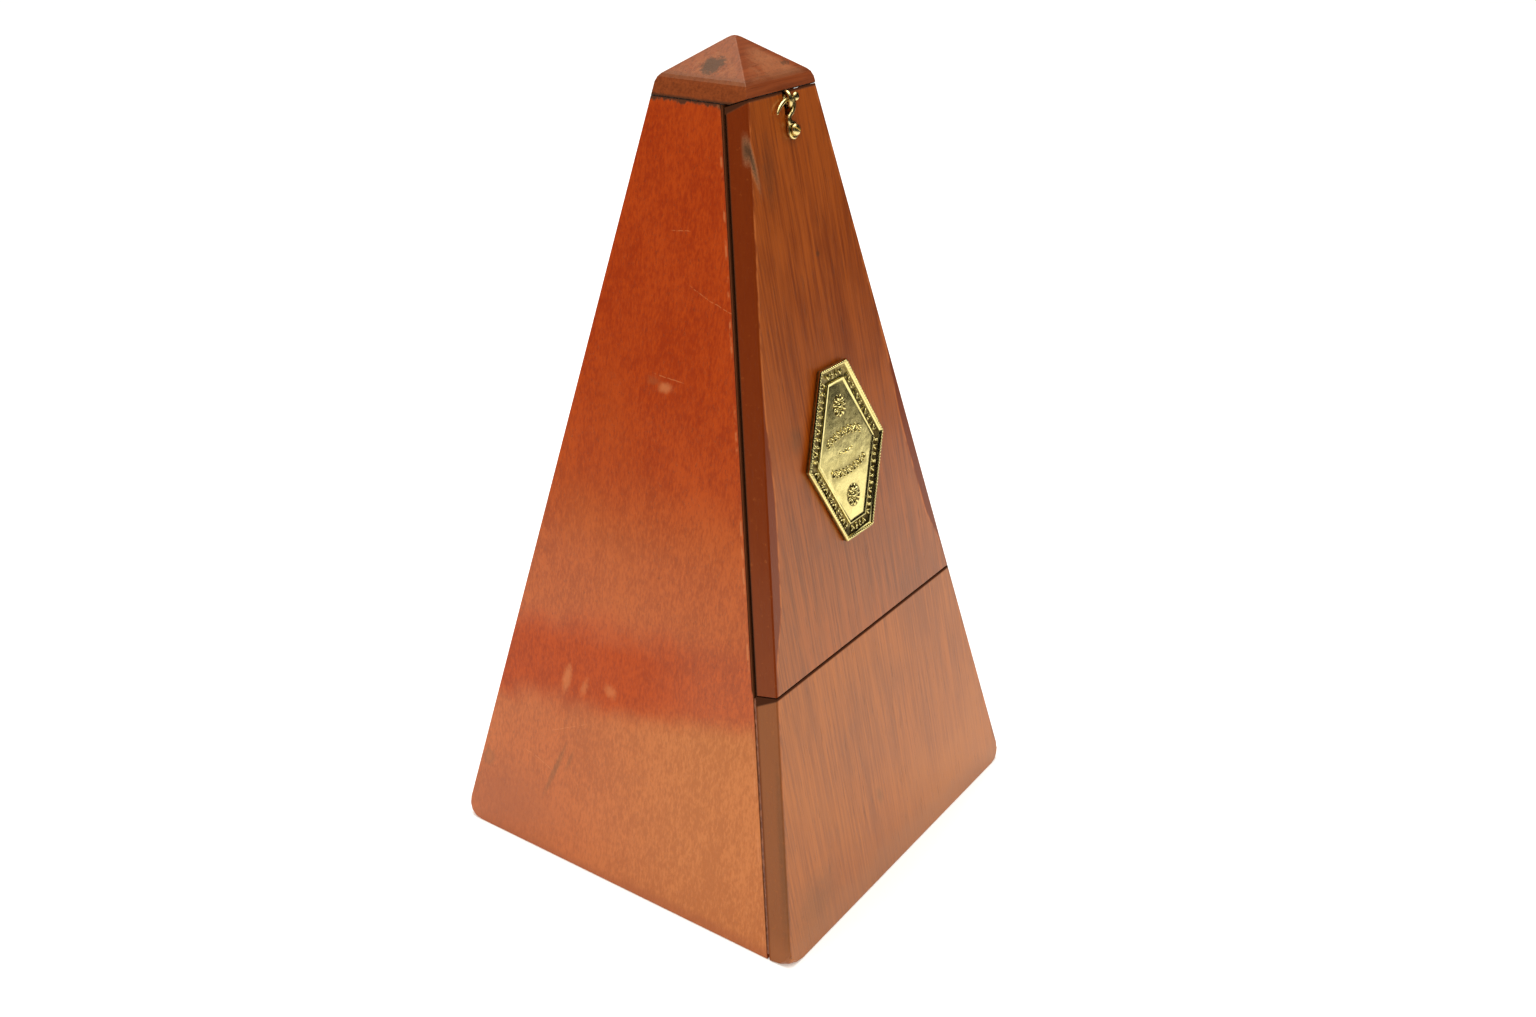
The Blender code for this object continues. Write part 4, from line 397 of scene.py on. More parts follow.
# ---------------------------------------------------------------- looks
# each set of three is the deep grain, the pale grain and the worn patches
SIDE_COLOURS = (rgb(0.29, 0.019, 0.0004), rgb(0.43, 0.045, 0.0012), rgb(0.43, 0.068, 0.0050))
FRONT_COLOURS = (rgb(0.18, 0.024, 0.0006), rgb(0.34, 0.062, 0.0022), rgb(0.38, 0.086, 0.0070))
LOWER_COLOURS = (rgb(0.24, 0.040, 0.0010), rgb(0.39, 0.084, 0.0040), rgb(0.42, 0.105, 0.0090))
CAP_COLOURS = (rgb(0.15, 0.021, 0.0028), rgb(0.24, 0.042, 0.0070), rgb(0.26, 0.058, 0.012))
INNER_COLOURS = (rgb(0.36, 0.19, 0.085), rgb(0.50, 0.29, 0.14), rgb(0.42, 0.24, 0.12))
# painted reflection: grain colours of the pale glare, then of the dark band between the glares
GLARE_COLOURS = (rgb(0.40, 0.100, 0.018), rgb(0.51, 0.155, 0.038))
NO_GLARE_COLOURS = (rgb(0.30, 0.026, 0.0006), rgb(0.43, 0.046, 0.0012))
EDGE_DARK = rgb(0.15, 0.016, 0.0008)
# pale rubbed colour of the arris, partly a painted highlight
RIDGE_PALE = rgb(0.50, 0.125, 0.020)
SCUFF = rgb(0.56, 0.17, 0.055)
SCRATCH_WIDTH = 0.00016
GRIME = rgb(0.045, 0.022, 0.012)
SHADOW = rgb(0.008, 0.003, 0.0015)
DOOR_HIGH = spread_on_face("front_door")[1]
LOWER_LOW, LOWER_HIGH = spread_on_face("lower_front_panel")
LOWER_TOP = LOWER_HIGH[1] * UP.z

left_marks = (
    painted_glare_bands,
    spot("y", 0.0010, 0.1406, 0.0024, 0.0015, SCUFF, 0.60, -0.15, 0.75, 0.5, 3.0),
    spot("y", 0.0050, 0.1416, 0.0022, 0.0012, rgb(0.30, 0.050, 0.010), 0.50, -0.15, 0.75, 0.5, 3.0),
    scratch(0.0002, 0.1432, 0.011, 0.05, 0.6),
    scratch(-0.0120, 0.1640, 0.022, 0.30, 0.55, bow=6.0),
    scratch(0.0010, 0.1800, 0.007, -0.10, 0.55),
    scratch(0.0225, 0.0400, 0.016, -0.45, 0.5),
    scratch(0.0330, 0.0270, 0.013, 0.25, 0.5, bow=-14.0),
    spot("y", 0.0250, 0.0540, 0.0016, 0.0042, SCUFF, 0.6, 0.15, 0.7),
    spot("y", 0.0185, 0.0532, 0.0012, 0.0030, SCUFF, 0.45, 0.3, 0.8),
    spot("y", 0.0092, 0.0550, 0.0024, 0.0018, SCUFF, 0.5, 0.4, 0.8),
    spot("y", 0.0265, 0.0255, 0.0009, 0.0100, GRIME, 0.38, 0.36, 0.6),
    spot("y", 0.0215, 0.0300, 0.0006, 0.0040, GRIME, 0.25, 0.36, 0.6),
    spot("y", 0.0521, 0.0207, 0.0025, 0.0030, GRIME, 0.38, 0.2, 0.6),
    spot("y", 0.0521, 0.0207, 0.0014, 0.0018, rgb(0.40, 0.075, 0.010), 0.6, 0.2, 0.5),
    spot("y", 0.0440, 0.0100, 0.0200, 0.0130, rgb(0.27, 0.030, 0.006), 0.60, -0.2, 0.9),
    grime(SIDE_TOP, 0.0011), seam_shade,
    foot_shade(rgb(0.30, 0.045, 0.008), 0.0035, 0.6))
right_marks = (
    painted_glare_bands,
    spot("y", -0.0100, 0.1250, 0.0030, 0.0014, SCUFF, 0.6, 0.3, 0.6, 0.5),
    scratch(0.0120, 0.0900, 0.018, 0.5, 0.5, bow=8.0),
    scratch(-0.0200, 0.0600, 0.012, -0.3, 0.5),
    grime(SIDE_TOP, 0.0008, 0.7), seam_shade,
    foot_shade(rgb(0.36, 0.070, 0.014), 0.009, 0.5))
door_marks = (
    door_edge(EDGE_DARK, RIDGE_PALE, SHADOW, 0.0030),
    top_shade(DOOR_HIGH[1]),
    spot("x", -0.0171, 0.1998, 0.0013, 0.0080, rgb(0.36, 0.140, 0.062), 0.80, 0.15, 0.8, 0.75, 0.0, 1900.0),
    spot("x", -0.0171, 0.1998, 0.0010, 0.0070, rgb(0.060, 0.024, 0.012), 0.95, 0.15, 0.9, 0.8, 1.0, 2400.0),
    spot("x", -0.0185, 0.1300, 0.0032, 0.0040, GRIME, 0.35, 0.0, 0.8),
    spot("x", -0.0110, 0.1950, 0.0035, 0.0090, GRIME, 0.30, -0.15, 0.9),
    spot("x", 0.0010, 0.2030, 0.0042, 0.0034, GRIME, 0.35, 0.0, 0.6),
    spot("x", 0.0040, 0.1720, 0.0009, 0.0008, GRIME, 0.5, 0.0, 0.6))
lower_marks = (
    door_edge(rgb(0.21, 0.060, 0.020), rgb(0.50, 0.120, 0.016), rgb(0.17, 0.050, 0.017)),
    top_shade(LOWER_HIGH[1]),
    spot("x", -0.0540, 0.0300, 0.0016, 0.0260, GRIME, 0.35, -0.2, 0.9),
    spot("x", -0.0440, 0.0100, 0.0100, 0.0080, GRIME, 0.30, 0.3, 1.0),
    spot("x", -0.0080, 0.0230, 0.0016, 0.0024, GRIME, 0.30, 0.4, 0.9),
    foot_shade(rgb(0.30, 0.090, 0.030), 0.010, 0.5))


def roof_wear(g, state):
    """Dull rubbed patches on the roof, dark stains, softened hips, and dirt under the eave."""
    x, y, z = state["x"], state["y"], state["z"]
    on_roof = g.step(z, EAVE_TOP - 0.0004, EAVE_TOP + 0.0008)
    wide, narrow = g.math("ABSOLUTE", x), g.math("ABSOLUTE", y)
    hip = g.math("ABSOLUTE", g.sub(wide, narrow))
    open_face = g.mul(g.step(hip, 0.0010, 0.0040), g.step(z, EAVE_TOP + 0.0078, EAVE_TOP + 0.0050))
    open_face = g.mul(on_roof, open_face)
    mottle = g.step(g.noise(g.coords, 260.0, 5.0, 0.72, 1.0), 0.40, 0.62)
    blend_in(g, state, g.mul(g.mul(mottle, open_face), 0.80), rgb(0.28, 0.074, 0.022), 0.58)
    right = g.mul(g.mul(g.step(y, -0.001, -0.004), g.step(x, -0.006, 0.002)), open_face)
    blend_in(g, state, g.mul(right, 0.45), rgb(0.36, 0.125, 0.050), 0.6)
    flecks = g.step(g.noise(g.coords, 1500.0, 4.0, 0.7), 0.50, 0.66)
    blend_in(g, state, g.mul(g.mul(flecks, open_face), 0.40), rgb(0.11, 0.034, 0.016), 0.7)
    state["height"] = g.sub(state["height"], g.mul(g.mul(flecks, open_face), 0.8))
    under = g.step(g.math("ABSOLUTE", g.sub(z, EAVE_TOP + 0.0006)), 0.0012, 0.0002)
    blend_in(g, state, g.mul(under, g.mul(0.45, g.step(state["stain"], 0.35, 0.6))), rgb(0.10, 0.022, 0.006))
    foot = g.step(g.add(g.sub(z, CAP_LOW.z), g.mul(g.sub(state["stain"], 0.5), 0.002)), 0.0009, 0.0002)
    blend_in(g, state, g.mul(foot, 0.8), GRIME, 0.8, 0.9)


def roof_stain(side, across, out, reach, strength):
    """A dark pitted stain on one slope of the roof.

    side is the axis that the slope faces along, x or y. across and out are the stain's place along
    the slope and along that axis.
    """
    def paint(g, state):
        u = g.sub(state["y" if side == "x" else "x"], across)
        v = g.sub(state[side], out)
        away = g.math("SQRT", g.add(g.mul(u, u), g.mul(g.mul(v, 1.4), g.mul(v, 1.4))))
        rag = g.mul(g.sub(g.noise(g.coords, 460.0, 6.0, 0.8), 0.5), 0.0105)
        mask = g.step(g.add(away, rag), reach, reach * 0.55, 0.0, strength)
        blend_in(g, state, mask, rgb(0.050, 0.020, 0.011), 0.6)
    return paint


side_look = wood("side_wood", *SIDE_COLOURS, (0.0, SIDE_LEAN, 0.0), marks=left_marks)
right_look = wood("right_wood", *SIDE_COLOURS, (0.0, -SIDE_LEAN, 0.0), marks=right_marks)
door_look = wood("door_wood", *FRONT_COLOURS, (LEAN, 0.0, 0.0), 0.34, marks=door_marks)
lower_look = wood("lower_wood", *LOWER_COLOURS, (LEAN, 0.0, 0.0), 0.36, marks=lower_marks, blotch=0.8)
back_look = wood("back_wood", *FRONT_COLOURS, (-LEAN, 0.0, 0.0), 0.36,
                 marks=(grime(SIDE_TOP, 0.0008, 0.7),))
cap_look = wood("cap_wood", *CAP_COLOURS, (0.0, math.pi / 2, 0.0), 0.50, coat=0.06, spec=0.4,
                marks=(roof_wear, roof_stain("x", -0.0005, -0.0098, 0.0042, 0.85),
                       roof_stain("y", 0.0075, -0.0100, 0.0014, 0.6)))
inner_look = wood("inner_wood", *INNER_COLOURS, (0.0, 0.0, 0.0), 0.65, coat=0.0, tint=rgb(1.0, 1.0, 1.0))
brass_look = metal("brass", rgb(0.80, 0.62, 0.24), rgb(0.33, 0.23, 0.08), 0.24)
latch_look = metal("latch_brass", rgb(0.80, 0.63, 0.26), rgb(0.38, 0.26, 0.09), 0.22, 300.0)
steel_look = metal("steel", rgb(0.52, 0.52, 0.53), rgb(0.26, 0.25, 0.24), 0.28)
blued_look = metal("blued_steel", rgb(0.07, 0.09, 0.17), rgb(0.05, 0.05, 0.07), 0.25)
lead_look = metal("weight_metal", rgb(0.26, 0.27, 0.28), rgb(0.14, 0.14, 0.15), 0.5)

LOOKS = {"side_wood": side_look, "front_wood": door_look, "cap_wood": cap_look, "inner_wood": inner_look,
         "brass": brass_look, "steel": steel_look, "blued_steel": blued_look, "weight_metal": lead_look}
OWN_LOOKS = {"right_side_panel": right_look, "back_panel": back_look, "lower_front_panel": lower_look}
SLOTS = {part["node"]: part["material_slot"] for part in frame["record"]["subparts"]}
for name, item in nodes.items():
    item.data.materials.clear()
    item.data.materials.append(OWN_LOOKS.get(name, LOOKS[SLOTS[name]]))


WELD = 0.00001                                  # vertices nearer than this are one
SHARP_ANGLE = math.radians(20.0)


def soften(name, width, share=None, segments=3):
    """Rounds a CAD node's arrises with modifiers; its vertices stay as they are.

    share gives the part of the width that a sharp edge gets, from the edge's two ends. Without it,
    every sharp edge gets the whole width.
    """
    mesh = nodes[name].data
    bm = bmesh.new()
    bm.from_mesh(mesh)
    bmesh.ops.remove_doubles(bm, verts=bm.verts, dist=WELD)
    sharp = {}
    for edge in bm.edges:
        if len(edge.link_faces) == 2 and edge.calc_face_angle() > SHARP_ANGLE:
            ends = [vert.co.copy() for vert in edge.verts]
            sharp[frozenset(spot_key(end) for end in ends)] = share(*ends) if share else 1.0
    bm.free()
    weights = mesh.attributes.new("bevel_weight_edge", "FLOAT", "EDGE")
    for edge in mesh.edges:
        ends = frozenset(spot_key(mesh.vertices[index].co) for index in edge.vertices)
        weights.data[edge.index].value = sharp.get(ends, 0.0)
    weld = nodes[name].modifiers.new("Weld", "WELD")
    weld.merge_threshold = WELD
    bevel = nodes[name].modifiers.new("Arris", "BEVEL")
    bevel.width = width
    bevel.segments = segments
    bevel.limit_method = "WEIGHT"
    bevel.harden_normals = True
    bevel.use_clamp_overlap = True


def spot_key(place):
    return tuple(round(number, 5) for number in place)


def front_share(first, second):
    """Full rounding on the long front arrises of the door and the lower panel, little elsewhere.

    The edges that meet the cap stay sharp.
    """
    if min(first.z, second.z) > SIDE_TOP - 0.001:
        return 0.0
    for place in (first, second):
        if BASE_HALF_DEPTH - place.z * TAPER_Y + place.y > 0.0002:
            return 0.15
    corners = [BASE_HALF_WIDTH - place.z * TAPER_X - abs(place.x) < 0.0008 for place in (first, second)]
    same_side = first.x * second.x > 0.0
    return 1.0 if all(corners) and same_side and abs(first.z - second.z) > 0.001 else 0.15


def side_share(first, second):
    """Every edge but those along the top, which meet the cap."""
    return 0.0 if min(first.z, second.z) > SIDE_TOP - 0.001 else 1.0


def cap_share(first, second):
    """Broad soft hips, rounded eaves, and a sharp lower edge."""
    low, high = sorted((first.z, second.z))
    if high < EAVE_TOP - 0.0005:
        return 0.0
    if high > EAVE_TOP + 0.0015 and high - low > 0.001:
        return 1.0
    return 0.55


for name in ("left_side_panel", "right_side_panel", "back_panel"):
    soften(name, 0.0003, side_share)
for name in ("front_door", "lower_front_panel"):
    soften(name, 0.0018, front_share, 4)
soften("top_cap", 0.0020, cap_share, 4)
for name in ("scale_board", "base_board", "movement_rail_front", "movement_rail_back"):
    soften(name, 0.0004)
for name in ("winding_key", "key_escutcheon", "sliding_weight", "pendulum_catch", "pendulum_bob"):
    soften(name, 0.00018)


# ---------------------------------------------------------------- new pieces
def add_object(name, bm):
    mesh = bpy.data.meshes.new(name)
    bm.to_mesh(mesh)
    bm.free()
    item = bpy.data.objects.new(name, mesh)
    bpy.context.scene.collection.objects.link(item)
    return item


def new_piece(name, bm, look, body, slot, *replaced):
    """A finished mesh that rides on a body and stands for CAD nodes."""
    bmesh.ops.recalc_face_normals(bm, faces=bm.faces)
    item = add_object(name, bm)
    item.data.shade_smooth()
    item.data.set_sharp_from_angle(angle=math.radians(42.0))
    item.data.materials.append(look)
    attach(item, body)
    if replaced:
        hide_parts(*replaced)
    return item


def loft(bm, rings, capped=True):
    """Skins rings of points, all with the same number of points."""
    rows = [[bm.verts.new(point) for point in ring] for ring in rings]
    count = len(rows[0])
    for first, second in zip(rows, rows[1:]):
        for index in range(count):
            after = (index + 1) % count
            bm.faces.new((first[index], first[after], second[after], second[index]))
    if capped:
        bm.faces.new(rows[0][::-1])
        bm.faces.new(rows[-1])


def loft_round(bm, rings):
    """Skins rings that come back to the first one."""
    loft(bm, rings + [rings[0]], False)
    bmesh.ops.remove_doubles(bm, verts=bm.verts, dist=1e-7)


DOME = ((0.3, 0.8), (0.6, 0.35))                # a bar's domed end: steps along it and sizes, by radius


def tube(bm, line, radii, sides=14):
    """A round bar of changing radius along a smooth line of points, with domed ends."""
    line = [Vector(point) for point in line]
    if not hasattr(radii, "__len__"):
        radii = [radii] * len(line)
    rings = []
    guide = None
    for index, point in enumerate(line):
        along = (line[min(index + 1, len(line) - 1)] - line[max(index - 1, 0)]).normalized()
        if guide is None:
            guide = along.orthogonal().normalized()
        guide = (guide - along * guide.dot(along)).normalized()
        side = along.cross(guide)
        entries = [(point, radii[index])]
        if index == 0:
            domed = [(point - along * radii[0] * back, radii[0] * size) for back, size in reversed(DOME)]
            entries = domed + entries
        if index == len(line) - 1:
            entries += [(point + along * radii[-1] * ahead, radii[-1] * size) for ahead, size in DOME]
        for centre, radius in entries:
            rings.append([centre + (guide * math.cos(a) + side * math.sin(a)) * radius
                          for a in (2 * math.pi * step / sides for step in range(sides))])
    loft(bm, rings)


def smooth_line(points, steps=6):
    """A Catmull-Rom line through the points."""
    points = [Vector(point) for point in points]
    padded = [points[0] * 2 - points[1]] + points + [points[-1] * 2 - points[-2]]
    line = []
    for a, b, c, d in zip(padded, padded[1:], padded[2:], padded[3:]):
        for step in range(steps):
            t = step / steps
            line.append(0.5 * (2 * b + (c - a) * t + (2 * a - 5 * b + 4 * c - d) * t ** 2
                               + (3 * b - a - 3 * c + d) * t ** 3))
    return line + [points[-1]]


def bead(bm, centre, across, along, high, turn=0.0, steps=12, rings=4):
    """Half an oval bead that stands on a flat field."""
    cos, sin = math.cos(turn), math.sin(turn)
    rows = []
    for ring in range(rings):
        tilt = math.pi / 2 * ring / rings
        row = []
        for step in range(steps):
            angle = 2 * math.pi * step / steps
            u = across * math.cos(tilt) * math.cos(angle)
            v = along * math.cos(tilt) * math.sin(angle)
            row.append((centre[0] + u * cos - v * sin, centre[1] + u * sin + v * cos,
                        centre[2] + high * math.sin(tilt)))
        rows.append(row)
    loft(bm, rows)


def inset(points, distance):
    """A convex outline moved inwards by a distance."""
    moved = []
    count = len(points)
    for index in range(count):
        before, here, after = (Vector(points[(index + shift) % count]) for shift in (-1, 0, 1))
        first = (here - before).normalized()
        second = (after - here).normalized()
        inward = [Vector((-edge.y, edge.x)) for edge in (first, second)]
        half = (inward[0] + inward[1]).normalized()
        moved.append(here + half * (distance / half.dot(inward[0])))
    return moved


def to_face(bm, centre_across, centre_up):
    """Moves geometry built flat, as across, up and out, on to the front face."""
    matrix = FACE_MATRIX @ Matrix.Translation((centre_across, centre_up, 0.0))
    bmesh.ops.transform(bm, matrix=matrix, verts=bm.verts)


# ---------------------------------------------------------------- nameplate
def plate_outline(low, high, end_share):
    """The long hexagon, counter-clockwise, about its own centre."""
    wide, tall = (high[0] - low[0]) / 2, (high[1] - low[1]) / 2
    end = wide * end_share
    return [(end, tall), (-end, tall), (-wide, 0.0), (-end, -tall), (end, -tall), (wide, 0.0)]


def motifs(bm, start, end, level, count):
    """A row of raised leaves, lozenges and pairs of dots along one side of the plate's border."""
    start, end = Vector(start), Vector(end)
    along = (end - start).normalized()
    inward = Vector((-along.y, along.x))
    turn = math.atan2(along.y, along.x)
    pitch = (end - start).length / count
    for index in range(count):
        place = start + along * pitch * (index + 0.5)
        kind = index % 3
        if kind == 0:
            for lean in (-1, 1):
                leaf = place + along * lean * pitch * 0.20
                bead(bm, (*leaf, level), 0.00026, 0.00088, 0.00046, turn + lean * 0.45, 12, 4)
        elif kind == 1:
            bead(bm, (*place, level), 0.00055, 0.00085, 0.00046, turn, 4, 3)
            for side in (-1, 1):
                bead(bm, (*(place + inward * side * 0.00078), level), 0.00045, 0.00016, 0.00034, turn, 10, 3)
        else:
            for side in (-1, 1):
                dot = place + inward * side * 0.00048
                bead(bm, (*dot, level), 0.00048, 0.00036, 0.00046, turn + side * 0.5, 12, 4)


def rosette(bm, centre, level, petals=11):
    for petal in range(petals):
        turn = 2 * math.pi * petal / petals
        reach = 0.00215
        place = (centre[0] + reach * math.cos(turn), centre[1] + reach * math.sin(turn), level)
        bead(bm, place, 0.00092, 0.00046, 0.00050, turn, 12, 4)
    for bud in range(petals):
        turn = 2 * math.pi * (bud + 0.5) / petals
        place = (centre[0] + 0.00112 * math.cos(turn), centre[1] + 0.00112 * math.sin(turn), level)
        bead(bm, place, 0.00022, 0.00022, 0.00036, turn, 8, 3)
    bead(bm, (centre[0], centre[1], level), 0.00072, 0.00072, 0.00060, 0.0, 16, 4)


def scroll(bm, centre, half_length, level, curls, bow):
    """A bowed row of leaves on a waving stem, where a maker's lettering would be."""
    def place(share, lift=0.0):
        across = (2 * share - 1) * half_length
        drop = bow * ((2 * share - 1) ** 2 - 0.4)
        return centre[0] + across, centre[1] - drop + lift
    steps = curls * 12
    points = []
    for step in range(steps + 1):
        share = step / steps
        points.append((*place(share, 0.00055 * math.sin(share * curls * 2 * math.pi)), level + 0.00010))
    tube(bm, points, 0.00019, 8)
    for curl in range(curls * 2):
        share = (curl + 0.5) / (curls * 2)
        side = 1 if curl % 2 else -1
        bead(bm, (*place(share, side * 0.00062), level), 0.00030, 0.00072, 0.00042, side * 0.55, 12, 4)
        bead(bm, (*place(share, -side * 0.00105), level), 0.00024, 0.00030, 0.00036, 0.0, 10, 3)


PLATE_LOW, PLATE_HIGH = spread_on_face("nameplate")
PLATE_CENTRE = (PLATE_LOW + PLATE_HIGH) / 2
PLATE_HALF_HEIGHT = (PLATE_HIGH[1] - PLATE_LOW[1]) / 2
ROSETTE_LIFT = 0.53 * PLATE_HALF_HEIGHT
SCROLL_LIFT = 0.20 * PLATE_HALF_HEIGHT
BORDER_LEVEL = PLATE_LOW[2] + 0.00048           # recess between the rim and the inner frame
FIELD_LEVEL = PLATE_LOW[2] + 0.00070            # polished middle


def plate_metal():
    """Polished brass plate: dark in the border's recess and round the ornaments, bright on the middle."""
    g = Graph("plate_brass")
    x, y, z = g.split(g.coords)
    behind = g.add(y, BASE_HALF_DEPTH)
    across = g.sub(x, PLATE_CENTRE[0])
    up = g.math("ABSOLUTE", g.sub(g.add(g.mul(z, UP.z), g.mul(behind, UP.y)), PLATE_CENTRE[1]))
    out = g.add(g.mul(behind, OUT.y), g.mul(z, OUT.z))
    rose = g.sub(up, ROSETTE_LIFT)
    near_rose = g.step(g.math("SQRT", g.add(g.mul(rose, rose), g.mul(across, across))), 0.0034, 0.0029)
    near_scroll = g.mul(g.step(g.math("ABSOLUTE", g.sub(up, SCROLL_LIFT)), 0.0024, 0.0008), 0.5)
    near_scroll = g.mul(near_scroll, g.step(g.math("ABSOLUTE", across), 0.0092, 0.0078))
    patch = g.noise(g.coords, 160.0, 5.0, 0.65, 0.6)
    speck = g.noise(g.coords, 1400.0, 3.0, 0.6)
    worn = g.add(0.70, g.mul(g.step(g.add(g.mul(patch, 0.5), g.mul(speck, 0.5)), 0.62, 0.42), 0.30))
    recess = g.step(out, BORDER_LEVEL + 0.00015, BORDER_LEVEL + 0.00004)
    ground = g.step(out, FIELD_LEVEL + 0.00020, FIELD_LEVEL + 0.00006)
    dirt = g.math("MAXIMUM", recess, g.mul(ground, g.math("MAXIMUM", near_rose, near_scroll)))
    dirt = g.mul(dirt, worn)
    tarnish = g.mul(g.step(patch, 0.44, 0.66), 0.35)
    tint = g.mix(tarnish, rgb(0.86, 0.74, 0.30), rgb(0.60, 0.48, 0.14))
    tint = g.mix(dirt, tint, rgb(0.16, 0.105, 0.025))
    rough = g.add(0.17, g.add(g.mul(tarnish, 0.20), g.mul(dirt, 0.22)))
    dents = g.noise(g.coords, 240.0, 2.0, 0.5)
    return g.finish(Base_Color=tint, Metallic=1.0, Roughness=rough,
                    Normal=g.bump(speck, 0.00003, 0.25, g.bump(dents, 0.0002, 0.3)))


def build_nameplate():
    outline = plate_outline(PLATE_LOW, PLATE_HIGH, 0.344)
    foot, top = PLATE_LOW[2], PLATE_HIGH[2]
    recess, field = BORDER_LEVEL, FIELD_LEVEL
    bm = bmesh.new()
    profile = ((0.0, foot), (0.0, top - 0.00060), (0.00010, top - 0.00028), (0.00034, top - 0.00004),
               (0.00044, top), (0.00058, top - 0.00004), (0.00074, top - 0.00026), (0.00088, top - 0.00028),
               (0.00112, recess + 0.00010), (0.00124, recess), (0.00392, recess), (0.00402, field + 0.00012),
               (0.00414, field + 0.00026), (0.00428, field + 0.00026), (0.00442, field + 0.00006),
               (0.00456, field), (0.00520, field))
    rings = [[(*point, level) for point in inset(outline, step)] for step, level in profile]
    loft(bm, rings)
    rope = inset(outline, 0.00044)
    border = inset(outline, 0.00258)
    for index in range(6):
        start, end = Vector(rope[index]), Vector(rope[(index + 1) % 6])
        count = int((end - start).length / 0.00085)
        turn = math.atan2((end - start).y, (end - start).x)
        for step in range(count):
            place = start.lerp(end, (step + 0.5) / count)
            bead(bm, (*place, top - 0.00012), 0.00036, 0.00024, 0.00026, turn + 0.6, 8, 3)
        first, second = Vector(border[index]), Vector(border[(index + 1) % 6])
        inset_ends = 0.0009 / (second - first).length
        motifs(bm, first.lerp(second, inset_ends), first.lerp(second, 1 - inset_ends), recess,
               max(3, int((second - first).length / 0.0021)))
    for side in (-1, 1):
        rosette(bm, (0.0, side * ROSETTE_LIFT), field)
        scroll(bm, (0.0, side * SCROLL_LIFT), 0.0083, field, 5, side * 0.0016)
        bead(bm, (side * 0.0016, 0.0, field), 0.00095, 0.00030, 0.00038, side * 0.4, 12, 4)
        bead(bm, (side * 0.0029, 0.0002, field), 0.00035, 0.00035, 0.00034, 0.0, 10, 3)
    bead(bm, (0.0, 0.0, field), 0.00048, 0.00066, 0.00044, 0.0, 12, 4)
    to_face(bm, PLATE_CENTRE[0], PLATE_CENTRE[1])
    new_piece("nameplate_relief", bm, plate_metal(), "door", "brass", "nameplate")


# ---------------------------------------------------------------- latch
EYE_OUT = 0.00025                               # the ring's centre, out from the front face
EYE_TURN = -26.0                                # degrees that the ring is turned about the line up the face


def build_latch():
    low, high = spread_on_face("latch_screw")
    centre = (low + high) / 2
    ring_low, ring_high = spread_on_face("latch_eye")
    level = spread_on_face("latch_hook")[0][2]
    reach = (ring_low[1] + ring_high[1]) / 2 - centre[1]
    build_hook(centre, reach, level)
    build_eye(ring_low, ring_high, centre[1] + reach)
    build_screw(centre, low, high)


def circle(radius, height, sides=40):
    return [(radius * math.cos(a), radius * math.sin(a), height)
            for a in (2 * math.pi * step / sides for step in range(sides))]


def build_hook(centre, reach, level):
    """A cast brass hook: a ring round the screw, an S-shaped shank, a thumb piece, and a tapering arm."""
    bm = bmesh.new()
    middle = level + 0.00052
    outer, inner = 0.00225, 0.00120
    profile = ((inner, 0.00012), (inner + 0.0001, 0.0), (outer - 0.0002, 0.0), (outer, 0.0002),
               (outer, 0.00055), (outer - 0.00025, 0.00078), (inner + 0.0001, 0.00078), (inner, 0.00066))
    rings = [circle(radius, level + height) for radius, height in profile]
    loft_round(bm, rings)
    shank = smooth_line([(-0.0010, 0.0017, middle), (-0.0013, 0.0027, middle), (-0.0007, 0.0036, middle),
                         (0.0006, 0.0043, middle), (0.0014, 0.0052, middle), (0.0017, 0.0063, middle),
                         (0.0017, reach * 0.97, middle)])
    widths = [0.00078 - 0.00022 * math.sin(math.pi * step / (len(shank) - 1)) for step in range(len(shank))]
    tube(bm, shank, widths)
    arc = [math.radians(78 + 63 * step / 24) for step in range(25)]
    arm = [(reach * math.cos(a), reach * math.sin(a), middle + 0.00006) for a in arc]
    taper = [0.00058 - 0.00026 * (step / 24) ** 2 for step in range(25)]
    tube(bm, arm, taper)
    spade = bmesh.ops.create_icosphere(bm, subdivisions=3, radius=0.00125)["verts"]
    bmesh.ops.scale(bm, vec=(1.0, 0.85, 0.62), verts=spade)
    bmesh.ops.rotate(bm, matrix=Matrix.Rotation(math.radians(28.0), 3, "Z"), verts=spade)
    place = (reach * math.cos(arc[0]) + 0.00130, reach * math.sin(arc[0]) + 0.0004, middle + 0.0002)
    bmesh.ops.translate(bm, vec=place, verts=spade)
    to_face(bm, centre[0], centre[1])
    new_piece("latch_hook_cast", bm, latch_look, "hook", "brass", "latch_hook")


